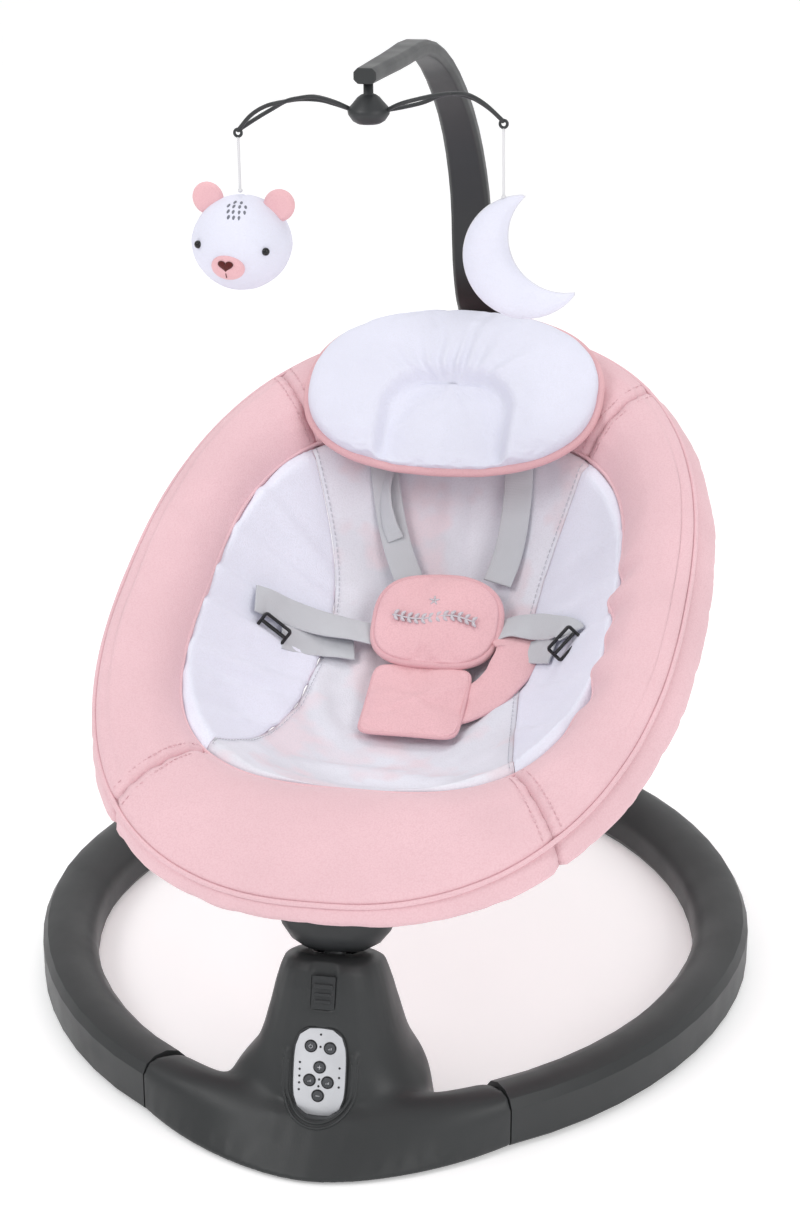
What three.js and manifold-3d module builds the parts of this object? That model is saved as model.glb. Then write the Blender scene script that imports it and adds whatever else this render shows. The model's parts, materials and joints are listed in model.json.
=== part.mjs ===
// Baby swing: an oval floor ring with a drive tower at its front, a cantilevered oval fabric seat on a
// leaning swing shaft, and a lift-off toy arch with a two-arm mobile.
// Millimetres, +Z up, the front (tower) towards -Y. The sizes below are measured from the middle of the ring,
// and the whole object is then moved so that its origin is on the floor under the middle of its length.
import * as THREE from 'three';
import { mergeVertices } from 'three/addons/utils/BufferGeometryUtils.js';
import Module from 'manifold-3d';

const wasm = await Module();
wasm.setup();

// ---------------------------------------------------------------- driving dimensions
const GAP = 0.3;                     // clearance between touching pieces
const FLOOR = 2;                     // underside of the base above the floor; the feet fill it
const RING = { halfWidth: 290, halfLength: 337, power: 1.87, tube: 44 };
const HOUSING_ANGLE = 24.5;          // half the angle of the ring that the front housing takes
const JOINER_ANGLE = 9;              // half the angle that the rear joiner takes
const FEET = { foot_front_left: -128, foot_front_right: -52, foot_rear_left: 132, foot_rear_right: 48 };
const NOSE = { reach: 27, round: 3.5, lean: 24, extraLean: 26 };   // pointed front of the housing
const ORIGIN_SHIFT = 12.2;           // moves the ring's middle to +Y, so that the origin is mid-length

const HUB = new THREE.Vector3(0, -240, 150);     // a point on the swing axis, inside the hub cup
const SWING_LEAN = 20;               // the swing axis leans back by this angle
const SWING_AT_REST = -2.7;          // the seat is stored this far round from the middle of its swing
const SHAFT_RADIUS = 8;
const BORE_RADIUS = 16;
const RECLINE_HEIGHT = 4;            // the recline pin above HUB, along the swing axis
const PIN = { radius: 4, bore: 4.3, halfLength: 27 };
const BEARING = { inner: 8.4, height: 8, upper: -36, lower: -62 };   // heights along the swing axis

const SEAT_CENTRE = new THREE.Vector3(0, -12, 326);
const SEAT_TILT = 21.1;              // head end up
const RIM = { halfWidth: 224, halfLength: 336, power: 2.35 };
const MOUTH = { halfWidth: 164, halfLength: 212, power: 3.1, shift: 7, depth: 22 };
const BOWL_DEPTH = 108;              // from the mouth down to the middle of the sling
const BOWL_POWER = 2.4;              // squareness of the sling's contour lines
const FABRIC = 4;                    // padded cover thickness
const FRAME_TUBE = { radius: 7, inset: 17, drop: 8 };
const PANEL_SEAM_ANGLE = 58;         // seat cover seams, either side of the widest line
const LINER = { waist: 60, halfWidth: 84, headBulge: 41, headSpan: 135, footBulge: 36, footSpan: 243 };
const PILLOW = { halfWidth: 120, halfHeight: 80, power: 2.5, tilt: 17, y: 228, z: 12 };
const BUCKLE = { x: 7, y: 60, z: -97, tilt: 20, drop: 14, ahead: 4 };   // the pad, and the buckle under it
const WEB = { width: 24, thick: 1.6 };

const PANEL = { width: 38, height: 64, centreY: -308.2, centreZ: 61, lean: 15.3, proud: 0.6 };
const BUTTON = { radius: 3.9, clearance: 0.3, proud: 1.2, length: 8.4 };
const LOCK = { width: 17, height: 24, thick: 4, slot: 36, centreY: -291.3, centreZ: 120, lean: 18.5 };
const POCKET_GAP = 0.6;              // width that the panel's and the slider's pockets have to spare
const BOARD = { width: 50, height: 56, thick: 1.6, behind: 10 };
const RIDGE = { radius: 25, top: 14, middle: -11, width: 4, sunk: 1.9 };   // raised U round the panel
const JACK = { y: -182, z: 20, hole: 6.2 };
const SPEAKER = { x: -46, y: -252, holeSpacing: 10 };
const COIL_Y = -222;

const MOBILE = new THREE.Vector3(0, -93, 712);   // middle of the mobile's hub
const ARM_REACH = 96;
const ARM_END = { left: 692, right: 703 };       // heights of the two arm ends
const ARM_TIP = 4.2;
const STRING_RADIUS = 1;
const BEAR = { radius: 37, z: 612, ear: 13, earX: 27.5, earZ: 30 };
const MOON = { x: 111, z: 608, radius: 44, biteX: 138.4, biteZ: 622.5, bite: 39.6, thick: 22 };
const SOCKET_Y = 322;                // the arch's foot and its socket

// ---------------------------------------------------------------- materials
const finish = (color, roughness, metalness = 0) =>
  new THREE.MeshStandardMaterial({ color, roughness, metalness });
const plastic = finish(0x4b4e50, 0.45);
const darkPlastic = finish(0x35383a, 0.5);
const rubber = finish(0x242526, 0.9);
const silver = finish(0xc8cacf, 0.35, 0.6);
const steel = finish(0x9b9ea2, 0.35, 0.9);
const copper = finish(0xb4703c, 0.4, 0.9);
const board = finish(0x1f5a3a, 0.6);
const pink = finish(0xeec6cd, 0.9);
const white = finish(0xf0f0f6, 0.9);
const print = finish(0xe6e4ea, 0.9);
const webbing = finish(0xbcbec0, 0.8);
const black = finish(0x161617, 0.5);

// ---------------------------------------------------------------- small maths
const rad = THREE.MathUtils.degToRad;
const at = (x, y, z) => new THREE.Vector3(x, y, z);
const lerp = THREE.MathUtils.lerp;

// Distance from the middle of a superellipse to its edge, in direction angle (radians).
function superRadius(shape, angle) {
  const u = Math.abs(Math.cos(angle) / shape.halfWidth) ** shape.power;
  const v = Math.abs(Math.sin(angle) / shape.halfLength) ** shape.power;
  return (u + v) ** (-1 / shape.power);
}

function superPoints(halfX, halfY, power, count) {
  const shape = { halfWidth: halfX, halfLength: halfY, power };
  return Array.from({ length: count }, (_, i) => {
    const angle = (2 * Math.PI * i) / count;
    const r = superRadius(shape, angle);
    return new THREE.Vector2(r * Math.cos(angle), r * Math.sin(angle));
  });
}

const range = (from, to, steps) =>
  Array.from({ length: steps + 1 }, (_, i) => lerp(from, to, i / steps));

// ---------------------------------------------------------------- mesh building
function indexed(points, triangles) {
  const geometry = new THREE.BufferGeometry();
  geometry.setAttribute('position', new THREE.Float32BufferAttribute(points.flatMap((p) => [p.x, p.y, p.z]), 3));
  let volume = 0;
  for (const [a, b, c] of triangles) {
    volume += points[a].dot(new THREE.Vector3().crossVectors(points[b], points[c]));
  }
  const outward = volume >= 0 ? triangles : triangles.map(([a, b, c]) => [a, c, b]);
  geometry.setIndex(outward.flat());
  return geometry;
}

// Triangles that fill a flat outline, wound the way the outline runs.
function capTriangles(outline) {
  const normal = new THREE.Vector3();
  outline.forEach((p, i) => {
    const q = outline[(i + 1) % outline.length];
    normal.x += (p.y - q.y) * (p.z + q.z);
    normal.y += (p.z - q.z) * (p.x + q.x);
    normal.z += (p.x - q.x) * (p.y + q.y);
  });
  normal.normalize();
  const across = Math.abs(normal.z) < 0.9 ? at(0, 0, 1) : at(1, 0, 0);
  const u = new THREE.Vector3().crossVectors(across, normal).normalize();
  const v = new THREE.Vector3().crossVectors(normal, u);
  const flat = outline.map((p) => new THREE.Vector2(p.dot(u), p.dot(v)));
  return THREE.ShapeUtils.triangulateShape(flat, []);
}

// A closed body through sections with equal point counts; round = true joins the last to the first.
function loft(sections, round = false) {
  const count = sections[0].length;
  const points = sections.flat();
  const triangles = [];
  const last = round ? sections.length : sections.length - 1;
  for (let k = 0; k < last; k++) {
    const here = k * count;
    const next = ((k + 1) % sections.length) * count;
    for (let i = 0; i < count; i++) {
      const j = (i + 1) % count;
      triangles.push([here + i, here + j, next + j], [here + i, next + j, next + i]);
    }
  }
  if (!round) {
    const end = (sections.length - 1) * count;
    for (const [a, b, c] of capTriangles(sections[0])) triangles.push([a, c, b]);
    for (const [a, b, c] of capTriangles(sections.at(-1))) triangles.push([end + a, end + b, end + c]);
  }
  return indexed(points, triangles);
}

// Stacked flat outlines: levels are [z, scale] pairs.
function stack(outline, levels) {
  return loft(levels.map(([z, k]) => outline.map((p) => at(p.x * k, p.y * k, z))));
}

// A turned body: profile points are [radius, height] about +Z.
function turned(profile, segments = 24) {
  const lathe = new THREE.LatheGeometry(profile.map(([r, h]) => new THREE.Vector2(r, h)), segments);
  return lathe.rotateX(Math.PI / 2);
}

function ringProfile(inner, outer, low, high) {
  return [[inner, low], [outer, low], [outer, high], [inner, high], [inner, low]];
}

function rod(radius, low, high, segments = 16) {
  return new THREE.CylinderGeometry(radius, radius, high - low, segments)
    .rotateX(Math.PI / 2).translate(0, 0, (low + high) / 2);
}

function block(width, depth, height, x, y, z) {
  return new THREE.BoxGeometry(width, depth, height).translate(x, y, z);
}

// A bar of section points [across, up] along a list of points; across stays level.
function strip(path, section, flat = at(1, 0, 0)) {
  return loft(path.map((p, i) => {
    const ahead = path[Math.min(i + 1, path.length - 1)];
    const behind = path[Math.max(i - 1, 0)];
    const along = new THREE.Vector3().subVectors(ahead, behind).normalize();
    const up = new THREE.Vector3().crossVectors(along, flat).normalize();
    const side = new THREE.Vector3().crossVectors(up, along).normalize();
    return section.map(([a, b]) => p.clone().addScaledVector(side, a).addScaledVector(up, b));
  }));
}

function smoothPath(points, steps) {
  return new THREE.CatmullRomCurve3(points, false, 'centripetal').getPoints(steps);
}

const rectangle = (width, height) => [
  [-width / 2, -height / 2], [width / 2, -height / 2], [width / 2, height / 2], [-width / 2, height / 2]];

const octagon = (width, height, cut) => [
  [-width / 2 + cut, -height / 2], [width / 2 - cut, -height / 2], [width / 2, -height / 2 + cut],
  [width / 2, height / 2 - cut], [width / 2 - cut, height / 2], [-width / 2 + cut, height / 2],
  [-width / 2, height / 2 - cut], [-width / 2, -height / 2 + cut]];

// ---------------------------------------------------------------- joining and cutting
function solid(geometry) {
  const plain = geometry.clone();
  for (const name of ['normal', 'uv']) plain.deleteAttribute(name);
  const merged = mergeVertices(plain, 1e-3);
  const corners = Array.from(merged.index.array);
  const kept = [];
  for (let i = 0; i < corners.length; i += 3) {
    const [a, b, c] = corners.slice(i, i + 3);
    if (a !== b && b !== c && c !== a) kept.push(a, b, c);
  }
  return new wasm.Manifold(new wasm.Mesh({
    numProp: 3,
    vertProperties: new Float32Array(merged.attributes.position.array),
    triVerts: new Uint32Array(kept),
  }));
}

function geometryOf(body) {
  const data = body.getMesh();
  const geometry = new THREE.BufferGeometry();
  geometry.setAttribute('position', new THREE.BufferAttribute(data.vertProperties, 3));
  geometry.setIndex(new THREE.BufferAttribute(data.triVerts, 1));
  return geometry;
}

const join = (...parts) => geometryOf(parts.map(solid).reduce((a, b) => a.add(b)));
const cut = (part, ...tools) => geometryOf(tools.map(solid).reduce((a, b) => a.subtract(b), solid(part)));

// ---------------------------------------------------------------- frames
const swing = new THREE.Group();
const base = new THREE.Group();
const object = new THREE.Group();
object.add(base, swing);
object.position.y = ORIGIN_SHIFT;

const swingAxis = at(0, Math.sin(rad(SWING_LEAN)), Math.cos(rad(SWING_LEAN)));
swing.position.copy(HUB);
swing.quaternion.setFromAxisAngle(swingAxis, rad(SWING_AT_REST));

// upright holds swinging pieces given in base coordinates, hub has +Z along the swing axis,
// and seat has +Y along the seat towards the head and +Z square to it.
const upright = new THREE.Group();
upright.position.copy(HUB).negate();
const hub = new THREE.Group();
hub.rotation.x = -rad(SWING_LEAN);
const seat = new THREE.Group();
seat.position.copy(SEAT_CENTRE);
seat.rotation.x = rad(SEAT_TILT);
swing.add(upright, hub);
upright.add(seat);

function place(group, name, geometry, material) {
  const mesh = new THREE.Mesh(geometry, material);
  mesh.name = name;
  group.add(mesh);
  return mesh;
}

// A frame on the tower's front: +X right, +Y up the face, +Z out of it.
function faceMatrix({ centreY, centreZ, lean }) {
  return new THREE.Matrix4().makeRotationX(Math.PI / 2 - rad(lean)).setPosition(0, centreY, centreZ);
}
const onPanel = (geometry) => geometry.applyMatrix4(faceMatrix(PANEL));
const onLock = (geometry) => geometry.applyMatrix4(faceMatrix(LOCK));

// Geometry about the swing axis, moved to base coordinates.
const onAxis = (geometry) => geometry.rotateX(-rad(SWING_LEAN)).translate(HUB.x, HUB.y, HUB.z);

// ---------------------------------------------------------------- base ring
const ringLine = {
  halfWidth: RING.halfWidth - RING.tube / 2, halfLength: RING.halfLength - RING.tube / 2, power: RING.power };

function ringPoint(degrees) {
  const angle = rad(degrees);
  const r = superRadius(ringLine, angle);
  return new THREE.Vector2(r * Math.cos(angle), r * Math.sin(angle));
}

// [outwards, height] points of the tube's section: upright outside, top falling inwards.
const RING_SECTION = [[19, 2], [22, 5], [22, 33], [18, 40], [10, 43.5], [-2, 43], [-13, 38], [-20, 30],
  [-22, 22], [-22, 7], [-19, 2]];
const LEAN_HEIGHT = 40;              // height over which the nose leans back by nose.lean
const RING_HOLLOW = [[17, 6], [17, 33], [8, 39], [-3, 38], [-16, 26], [-17, 7]];

// grow enlarges the section; nose pushes its outer side forwards by reach and leans it back.
function ringSection(degrees, profile, grow = 0, nose = { reach: 0, lean: 0 }) {
  const p = ringPoint(degrees);
  const q = ringPoint(degrees + 0.1);
  const out = new THREE.Vector2(q.y - p.y, p.x - q.x).normalize();
  return profile.map(([u, z]) => {
    const rise = z - FLOOR;
    const push = u > 0 ? nose.reach - (nose.lean * rise) / LEAN_HEIGHT : 0;
    const reach = u * (1 + grow) + push;
    return at(p.x + out.x * reach, p.y + out.y * reach, FLOOR + rise * (1 + grow));
  });
}

function ringTube(from, to, steps) {
  const body = loft(range(from, to, steps).map((d) => ringSection(d, RING_SECTION)));
  const margin = to > from ? 0.5 : -0.5;
  const hollow = loft(range(from - margin, to + margin, steps / 2).map((d) => ringSection(d, RING_HOLLOW)));
  return cut(body, hollow);
}

const SEAM_GAP = 0.06;               // degrees of ring that make GAP at a seam
const frontSeam = HOUSING_ANGLE + SEAM_GAP;
const rearSeam = JOINER_ANGLE + SEAM_GAP;
place(base, 'ring_tube_left', ringTube(-90 - frontSeam, -270 + rearSeam, 24), plastic);
place(base, 'ring_tube_right', ringTube(-90 + frontSeam, 90 - rearSeam, 24), plastic);
place(base, 'rear_joiner',
  loft(range(90 - JOINER_ANGLE, 90 + JOINER_ANGLE, 4).map((d) => ringSection(d, RING_SECTION, 0.01))), plastic);

for (const [name, degrees] of Object.entries(FEET)) {
  const p = ringPoint(degrees);
  place(base, name, turned([[0, 0], [11, 0], [13, FLOOR - GAP], [0, FLOOR - GAP]], 12), rubber)
    .position.set(p.x, p.y, 0);
}

// ---------------------------------------------------------------- tower and front housing
// [height on the axis, half width, front y, rear y, share of the swing lean, narrowing at the rear].
const TOWER = [
  [2, 92, -318, -180, 0, 0.36], [36, 86, -315, -183, 0, 0.36], [44, 77, -313, -186, 0, 0.34],
  [52, 67, -311, -189, 0, 0.28], [62, 58.5, -308, -192, 0.1, 0.18], [76, 51.5, -303.5, -197, 0.3, 0.08],
  [92, 46, -298.5, -202, 0.6, 0.03], [106, 42, -293.5, -207, 0.85, 0], [117, 38.5, -288.5, -211, 1, 0],
  [124, 35.5, -283, -214.5, 1, 0], [127.2, 29, -276, -221, 1, 0]];
const TOWER_POWER = 2.6;
const WALL = 4;

function towerSection([z, halfWidth, front, rear, share, narrowing], inset, count) {
  const axisY = HUB.y + (z - HUB.z) * Math.tan(rad(SWING_LEAN));
  const middle = (front + rear) / 2;
  return superPoints(halfWidth - inset, (rear - front) / 2 - inset, TOWER_POWER, count).map((p) => {
    const y = middle + p.y;
    const narrow = 1 - (narrowing * (y - front)) / (rear - front);
    return at(p.x * narrow, y, z - (y - axisY) * Math.tan(rad(SWING_LEAN)) * share);
  });
}

const tower = loft(TOWER.map((level) => towerSection(level, 0, 36)));
const noseFall = Math.hypot(HOUSING_ANGLE, NOSE.round) - NOSE.round;
const nose = loft(range(-HOUSING_ANGLE, HOUSING_ANGLE, 20).map((d) => {
  const wide = Math.cos((Math.PI / 2) * (d / HOUSING_ANGLE)) ** 2;
  const point = 1 - (Math.hypot(d, NOSE.round) - NOSE.round) / noseFall;
  return ringSection(-90 + d, RING_SECTION, 0,
    { reach: NOSE.reach * point, lean: NOSE.lean * wide + NOSE.extraLean * point });
}));

const cavityLevels = TOWER.filter(([z]) => z < 95).map((level, i) => (i ? level : [-1, ...level.slice(1)]));
const cavity = loft(cavityLevels.map((level) => towerSection(level, WALL, 20)));
const ridgeBend = range(180, 360, 10).map((d) =>
  at(RIDGE.radius * Math.cos(rad(d)), RIDGE.middle + RIDGE.radius * Math.sin(rad(d)), 0));
const ridgePath = [at(-RIDGE.radius, RIDGE.top, 0), ...ridgeBend, at(RIDGE.radius, RIDGE.top, 0)];
const ridge = strip(ridgePath, rectangle(RIDGE.width, RIDGE.width), at(0, 0, 1)).translate(0, 0, -RIDGE.sunk);

const capsule = (width, height, low, high) => stack(
  superPoints(width / 2, height / 2, 3.4, 24), [[low, 1], [high, 1]]);

// [x, y] of each push button on the panel.
const BUTTONS = {
  button_power: [-7, 18.5], button_music: [7, 18], button_faster: [0, 3.5], button_slower: [-0.5, -17.5],
  button_timer: [-7, -6.5], button_volume: [6.2, -7.2] };
const buttonHoles = (low, high) => Object.values(BUTTONS).map(([x, y]) =>
  onPanel(rod(BUTTON.radius + BUTTON.clearance, low, high, 12).translate(x, y, 0)));

const SCREWS = [[-64, -286], [64, -286], [-42, -208], [42, -208]];
const bosses = SCREWS.map(([x, y]) => rod(6, 5.6, 40, 8).translate(x, y, 0));
const pilotHoles = SCREWS.map(([x, y]) => rod(2, 0, 24, 8).translate(x, y, 0));
const jackHole = rod(JACK.hole, -14, 14).rotateX(Math.PI / 2).translate(0, JACK.y, JACK.z);

const shell = cut(join(tower, nose, onPanel(ridge)), cavity);
const housing = cut(
  join(shell, ...bosses),
  onAxis(rod(BORE_RADIUS, -80, -10, 20)),
  onPanel(capsule(PANEL.width + POCKET_GAP, PANEL.height + POCKET_GAP, -2.2, 12)),
  onLock(block(LOCK.width + POCKET_GAP, LOCK.slot, 6, 0, 2, 0)),
  ...buttonHoles(-12, 4), ...pilotHoles, jackHole);
place(base, 'front_housing', housing, plastic);

const coverOutline = towerSection(TOWER[0], WALL + 4 * GAP, 20);
const coverPlate = loft([FLOOR, FLOOR + 3].map((z) => coverOutline.map((p) => at(p.x, p.y, z))));
const speakerHoles = [[0, 0], [1, 0], [-1, 0], [0, 1], [0, -1]].map(([x, y]) =>
  rod(2, 0, 8, 6).translate(SPEAKER.x + x * SPEAKER.holeSpacing, SPEAKER.y + y * SPEAKER.holeSpacing, 0));
const screwHoles = SCREWS.map(([x, y]) => rod(4, 0, 8, 8).translate(x, y, 0));
place(base, 'bottom_cover', cut(coverPlate, ...screwHoles, ...speakerHoles), plastic);
SCREWS.forEach(([x, y], i) => {
  const profile = [[0, 2.2], [3.6, 2.2], [3.6, 4.8], [1.6, 4.8], [1.6, 20], [0, 20]];
  place(base, `cover_screw_${i + 1}`, turned(profile, 8), steel).position.set(x, y, 0);
});

// ---------------------------------------------------------------- what the tower holds
const plate = cut(capsule(PANEL.width, PANEL.height, -1.9, PANEL.proud),
  ...Object.values(BUTTONS).map(([x, y]) => rod(BUTTON.radius + BUTTON.clearance, -4, 4, 12).translate(x, y, 0)));
place(base, 'control_panel', onPanel(plate), silver);
for (const [name, [x, y]] of Object.entries(BUTTONS)) {
  const top = PANEL.proud + BUTTON.proud;
  const profile = [[0, top - BUTTON.length], [BUTTON.radius, top - BUTTON.length],
    [BUTTON.radius, top - 0.5], [BUTTON.radius - 0.6, top], [0, top]];
  place(base, name, onPanel(turned(profile, 12).translate(x, y, 0)), darkPlastic);
}
const slider = join(block(LOCK.width, LOCK.height, LOCK.thick - 1, 0, -3.7, -1.2),
  block(LOCK.width - 3, 3, 2, 0, 1, 0.8), block(LOCK.width - 5, 2, 2, 0, -5, 0.6),
  block(LOCK.width - 5, 2, 2, 0, -10, 0.6));
place(base, 'lock_slider', onLock(slider), darkPlastic);
place(base, 'circuit_board', onPanel(block(BOARD.width, BOARD.height, BOARD.thick, 0, 0, -BOARD.behind)), board);

const bearing = (low) => onAxis(
  turned(ringProfile(BEARING.inner, BORE_RADIUS - 2 * GAP, low, low + BEARING.height), 16));
place(base, 'upper_bearing', bearing(BEARING.upper), steel);
place(base, 'lower_bearing', bearing(BEARING.lower), steel);
place(base, 'drive_coil', turned(ringProfile(6, 17, 5.3, 17), 16).translate(0, COIL_Y, 0), copper);
const speakerProfile = [[0, 5.3], [20, 5.3], [20, 9], [9, 17], [0, 17]];
place(base, 'speaker', turned(speakerProfile, 12).translate(SPEAKER.x, SPEAKER.y, 0), darkPlastic);
const jack = turned([[0, -8], [5.8, -8], [5.8, 6], [2.8, 6], [2.8, -3], [0, -3]], 16);
place(base, 'power_jack', jack.rotateX(-Math.PI / 2).translate(0, JACK.y, JACK.z), black);

// ---------------------------------------------------------------- swinging hub
const cup = turned([[8.3, -22], [23, -22], [33, -16], [40, -7], [43.5, 3], [44, 10], [41, 10], [40, 4],
  [36.5, -5], [30, -13], [21, -17.5], [8.3, -17.5], [8.3, -22]], 24);
const ear = (x) => block(6, 16, 27, x, 0, -5);
const pinHole = rod(PIN.bore, -60, 60).rotateY(Math.PI / 2).translate(0, 0, RECLINE_HEIGHT);
const hubInside = turned([[0, -20], [21, -19.8], [30, -14.5], [37.5, -5], [41.5, 4], [42.5, 9], [0, 9]], 24);
const ears = geometryOf(solid(join(ear(23), ear(-23))).intersect(solid(hubInside)));
place(hub, 'hub_cup', cut(join(cup, ears), pinHole), darkPlastic);
const pin = rod(PIN.radius, -PIN.halfLength, PIN.halfLength);
place(hub, 'recline_pin', pin.rotateY(Math.PI / 2).translate(0, 0, RECLINE_HEIGHT), steel);
place(hub, 'swing_shaft', rod(SHAFT_RADIUS, -97.7, -14, 16), steel);
place(hub, 'magnet_arm', block(18, 62, 8, 0, 19, -102), plastic);
place(hub, 'drive_magnet', rod(8, -114.3, -106.3).translate(0, 40, 0), steel);

// ---------------------------------------------------------------- seat frame and cover
const framePath = { halfWidth: RIM.halfWidth - FRAME_TUBE.inset, halfLength: RIM.halfLength - FRAME_TUBE.inset,
  power: RIM.power };

function around(shape, degrees, z, shift = 0) {
  const angle = rad(degrees);
  const r = superRadius(shape, angle);
  return at(r * Math.cos(angle), r * Math.sin(angle) + shift, z);
}

const frameSections = range(0, 360, 36).slice(0, -1).map((degrees) => {
  const p = around(framePath, degrees, -FRAME_TUBE.drop);
  const q = around(framePath, degrees + 0.5, -FRAME_TUBE.drop);
  const out = at(q.y - p.y, p.x - q.x, 0).normalize();
  return range(0, 360, 6).slice(0, -1).map((turn) => p.clone()
    .addScaledVector(out, FRAME_TUBE.radius * Math.cos(rad(turn)))
    .add(at(0, 0, FRAME_TUBE.radius * Math.sin(rad(turn)))));
});
place(seat, 'seat_frame', loft(frameSections, true), steel);

// The padded cover's section between rim (share 0) and mouth (share 1): an open hood over the tube.
const COVER_SECTION = [[0, 0, 0], [12, 0, 5], [0, 0.45, 5], [0, 0.8, -6], [0, 1, -MOUTH.depth],
  [0, 1, -MOUTH.depth - FABRIC], [0, 0.78, -11], [0, 0.44, 0.6], [12, 0, 0.8], [5, 0, -4], [4.5, 0, -18],
  [9.5, 0, -30], [8, 0, -34], [1, 0, -18]];

function coverSection(degrees) {
  const rim = around(RIM, degrees, 0);
  const mouth = around(MOUTH, degrees, 0, MOUTH.shift);
  const width = rim.distanceTo(mouth);
  return COVER_SECTION.map(([inset, share, z]) => {
    const p = rim.clone().lerp(mouth, share + inset / width);
    return at(p.x, p.y, z);
  });
}

const COVER_GAP = 0.12;              // degrees between neighbouring cover panels
for (const [name, from, to, steps] of [
  ['cover_right', -PANEL_SEAM_ANGLE, PANEL_SEAM_ANGLE, 14],
  ['cover_head', PANEL_SEAM_ANGLE, 180 - PANEL_SEAM_ANGLE, 12],
  ['cover_left', 180 - PANEL_SEAM_ANGLE, 180 + PANEL_SEAM_ANGLE, 14],
  ['cover_foot', 180 + PANEL_SEAM_ANGLE, 360 - PANEL_SEAM_ANGLE, 12]]) {
  place(seat, name, loft(range(from + COVER_GAP, to - COVER_GAP, steps).map(coverSection)), pink);
}

// Height of the sling's top surface at a point of the seat plane.
function slingHeight(x, s) {
  const u = Math.abs(x / MOUTH.halfWidth) ** BOWL_POWER;
  const v = Math.abs((s - MOUTH.shift) / MOUTH.halfLength) ** BOWL_POWER;
  return -MOUTH.depth - BOWL_DEPTH * Math.max(0, 1 - (u + v) ** 1.05);
}

// Half width of the mouth, and of the printed middle panel, at a place along the seat.
const MOUTH_GAP = 1.4;
function mouthWidth(s) {
  const v = Math.abs((s - MOUTH.shift) / (MOUTH.halfLength - MOUTH_GAP)) ** MOUTH.power;
  return (MOUTH.halfWidth - MOUTH_GAP) * Math.max(0, 1 - v) ** (1 / MOUTH.power);
}
function linerWidth(s) {
  const away = s - LINER.waist;
  const bulge = away > 0
    ? LINER.headBulge * (away / LINER.headSpan) ** 2
    : LINER.footBulge * (away / LINER.footSpan) ** 2;
  return Math.min(LINER.halfWidth + bulge, mouthWidth(s));
}

function slingPanel(inner, outer, stations, across) {
  return loft(stations.map((s) => {
    const xs = range(inner(s), outer(s), across);
    const top = xs.map((x) => at(x, s, slingHeight(x, s)));
    const bottom = [...xs].reverse().map((x) => at(x, s, slingHeight(x, s) - FABRIC));
    return [...top, ...bottom];
  }));
}

const wingStations = range(-168, 176, 14);
const linerStations = [-204, -198, -185, ...wingStations, 190, 198];
place(seat, 'seat_liner', slingPanel((s) => -linerWidth(s), linerWidth, linerStations, 8), print);
const wingGap = 0.4;
place(seat, 'side_panel_right', slingPanel((s) => linerWidth(s) + wingGap, mouthWidth, wingStations, 4), white);
place(seat, 'side_panel_left',
  slingPanel((s) => -mouthWidth(s), (s) => -linerWidth(s) - wingGap, wingStations, 4), white);

// Saddle: a plate under the foot panel, two blocks under the frame tube, and the neck on the pin.
const toSeat = new THREE.Matrix4().makeRotationX(rad(SEAT_TILT)).setPosition(SEAT_CENTRE).invert();
const pinPlace = swingAxis.clone().multiplyScalar(RECLINE_HEIGHT).add(HUB).applyMatrix4(toSeat);
const neck = rod(13, pinPlace.z - 6, -28, 20).translate(0, pinPlace.y, 0);
const seatPinHole = rod(PIN.bore, -40, 40).rotateY(Math.PI / 2).translate(0, pinPlace.y, pinPlace.z);
const saddle = join(block(150, 70, 8, 0, -273, -30), block(20, 14, 12, 64, -303, -21.4),
  block(20, 14, 12, -64, -303, -21.4), neck);
place(seat, 'seat_saddle', cut(saddle, seatPinHole), plastic);

// ---------------------------------------------------------------- pillow, harness and buckle
const pillow = stack(superPoints(PILLOW.halfWidth, PILLOW.halfHeight, PILLOW.power, 24),
  [[-16, 0.8], [-9, 0.95], [0, 1], [9, 0.95], [18, 0.7]]);
place(seat, 'head_pillow', pillow.rotateX(rad(PILLOW.tilt)).translate(0, PILLOW.y, PILLOW.z), white);

const ABOVE = 9;                     // how far the harness lies over the sling
const onSling = (x, s, lift = ABOVE) => at(x, s, slingHeight(x, s) + lift);
function ribbon(places, flat) {
  return strip(places.map(([x, s, lift]) => onSling(x, s, lift)), rectangle(WEB.width, WEB.thick), flat);
}
const shoulder = (side) => ribbon([[side * 58, 176], [side * 55, 160], [side * 50, 140], [side * 44, 120],
  [side * 36, 104]], at(1, 0, 0));
place(seat, 'shoulder_strap_left', shoulder(-1), webbing);
place(seat, 'shoulder_strap_right', shoulder(1), webbing);
const waist = (side) => ribbon([[side * 64, 48, 14], [side * 76, 44, 10], [side * 94, 38], [side * 112, 33],
  [side * 128, 30]], at(0, 1, 0));
place(seat, 'waist_strap_left', waist(-1), webbing);
place(seat, 'waist_strap_right', waist(1), webbing);
for (const [name, side] of [['strap_adjuster_left', -1], ['strap_adjuster_right', 1]]) {
  const spot = onSling(side * 110, 8, 9);
  place(seat, name, block(30, 16, 5, 0, 0, 0).rotateY(-side * 0.75).translate(spot.x, spot.y, spot.z), black);
}

const crotchPath = [[-54, 9], [-34, 9], [-14, 9], [6, 10], [22, 11]].map(([s, lift]) => onSling(0, s, lift));
place(seat, 'crotch_pad', strip(crotchPath, octagon(80, 7, 2)), pink);
place(seat, 'buckle', stack(superPoints(22, 27, 4, 20), [[-5, 0.92], [-2, 1], [4, 0.95]])
  .rotateX(rad(BUCKLE.tilt)).translate(BUCKLE.x, BUCKLE.y + BUCKLE.ahead, BUCKLE.z - BUCKLE.drop), darkPlastic);
place(seat, 'buckle_pad', stack(superPoints(53, 41, 3, 20), [[-7, 0.94], [-3, 1], [3, 1], [7, 0.92]])
  .rotateX(rad(BUCKLE.tilt)).translate(BUCKLE.x, BUCKLE.y, BUCKLE.z), pink);

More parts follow.
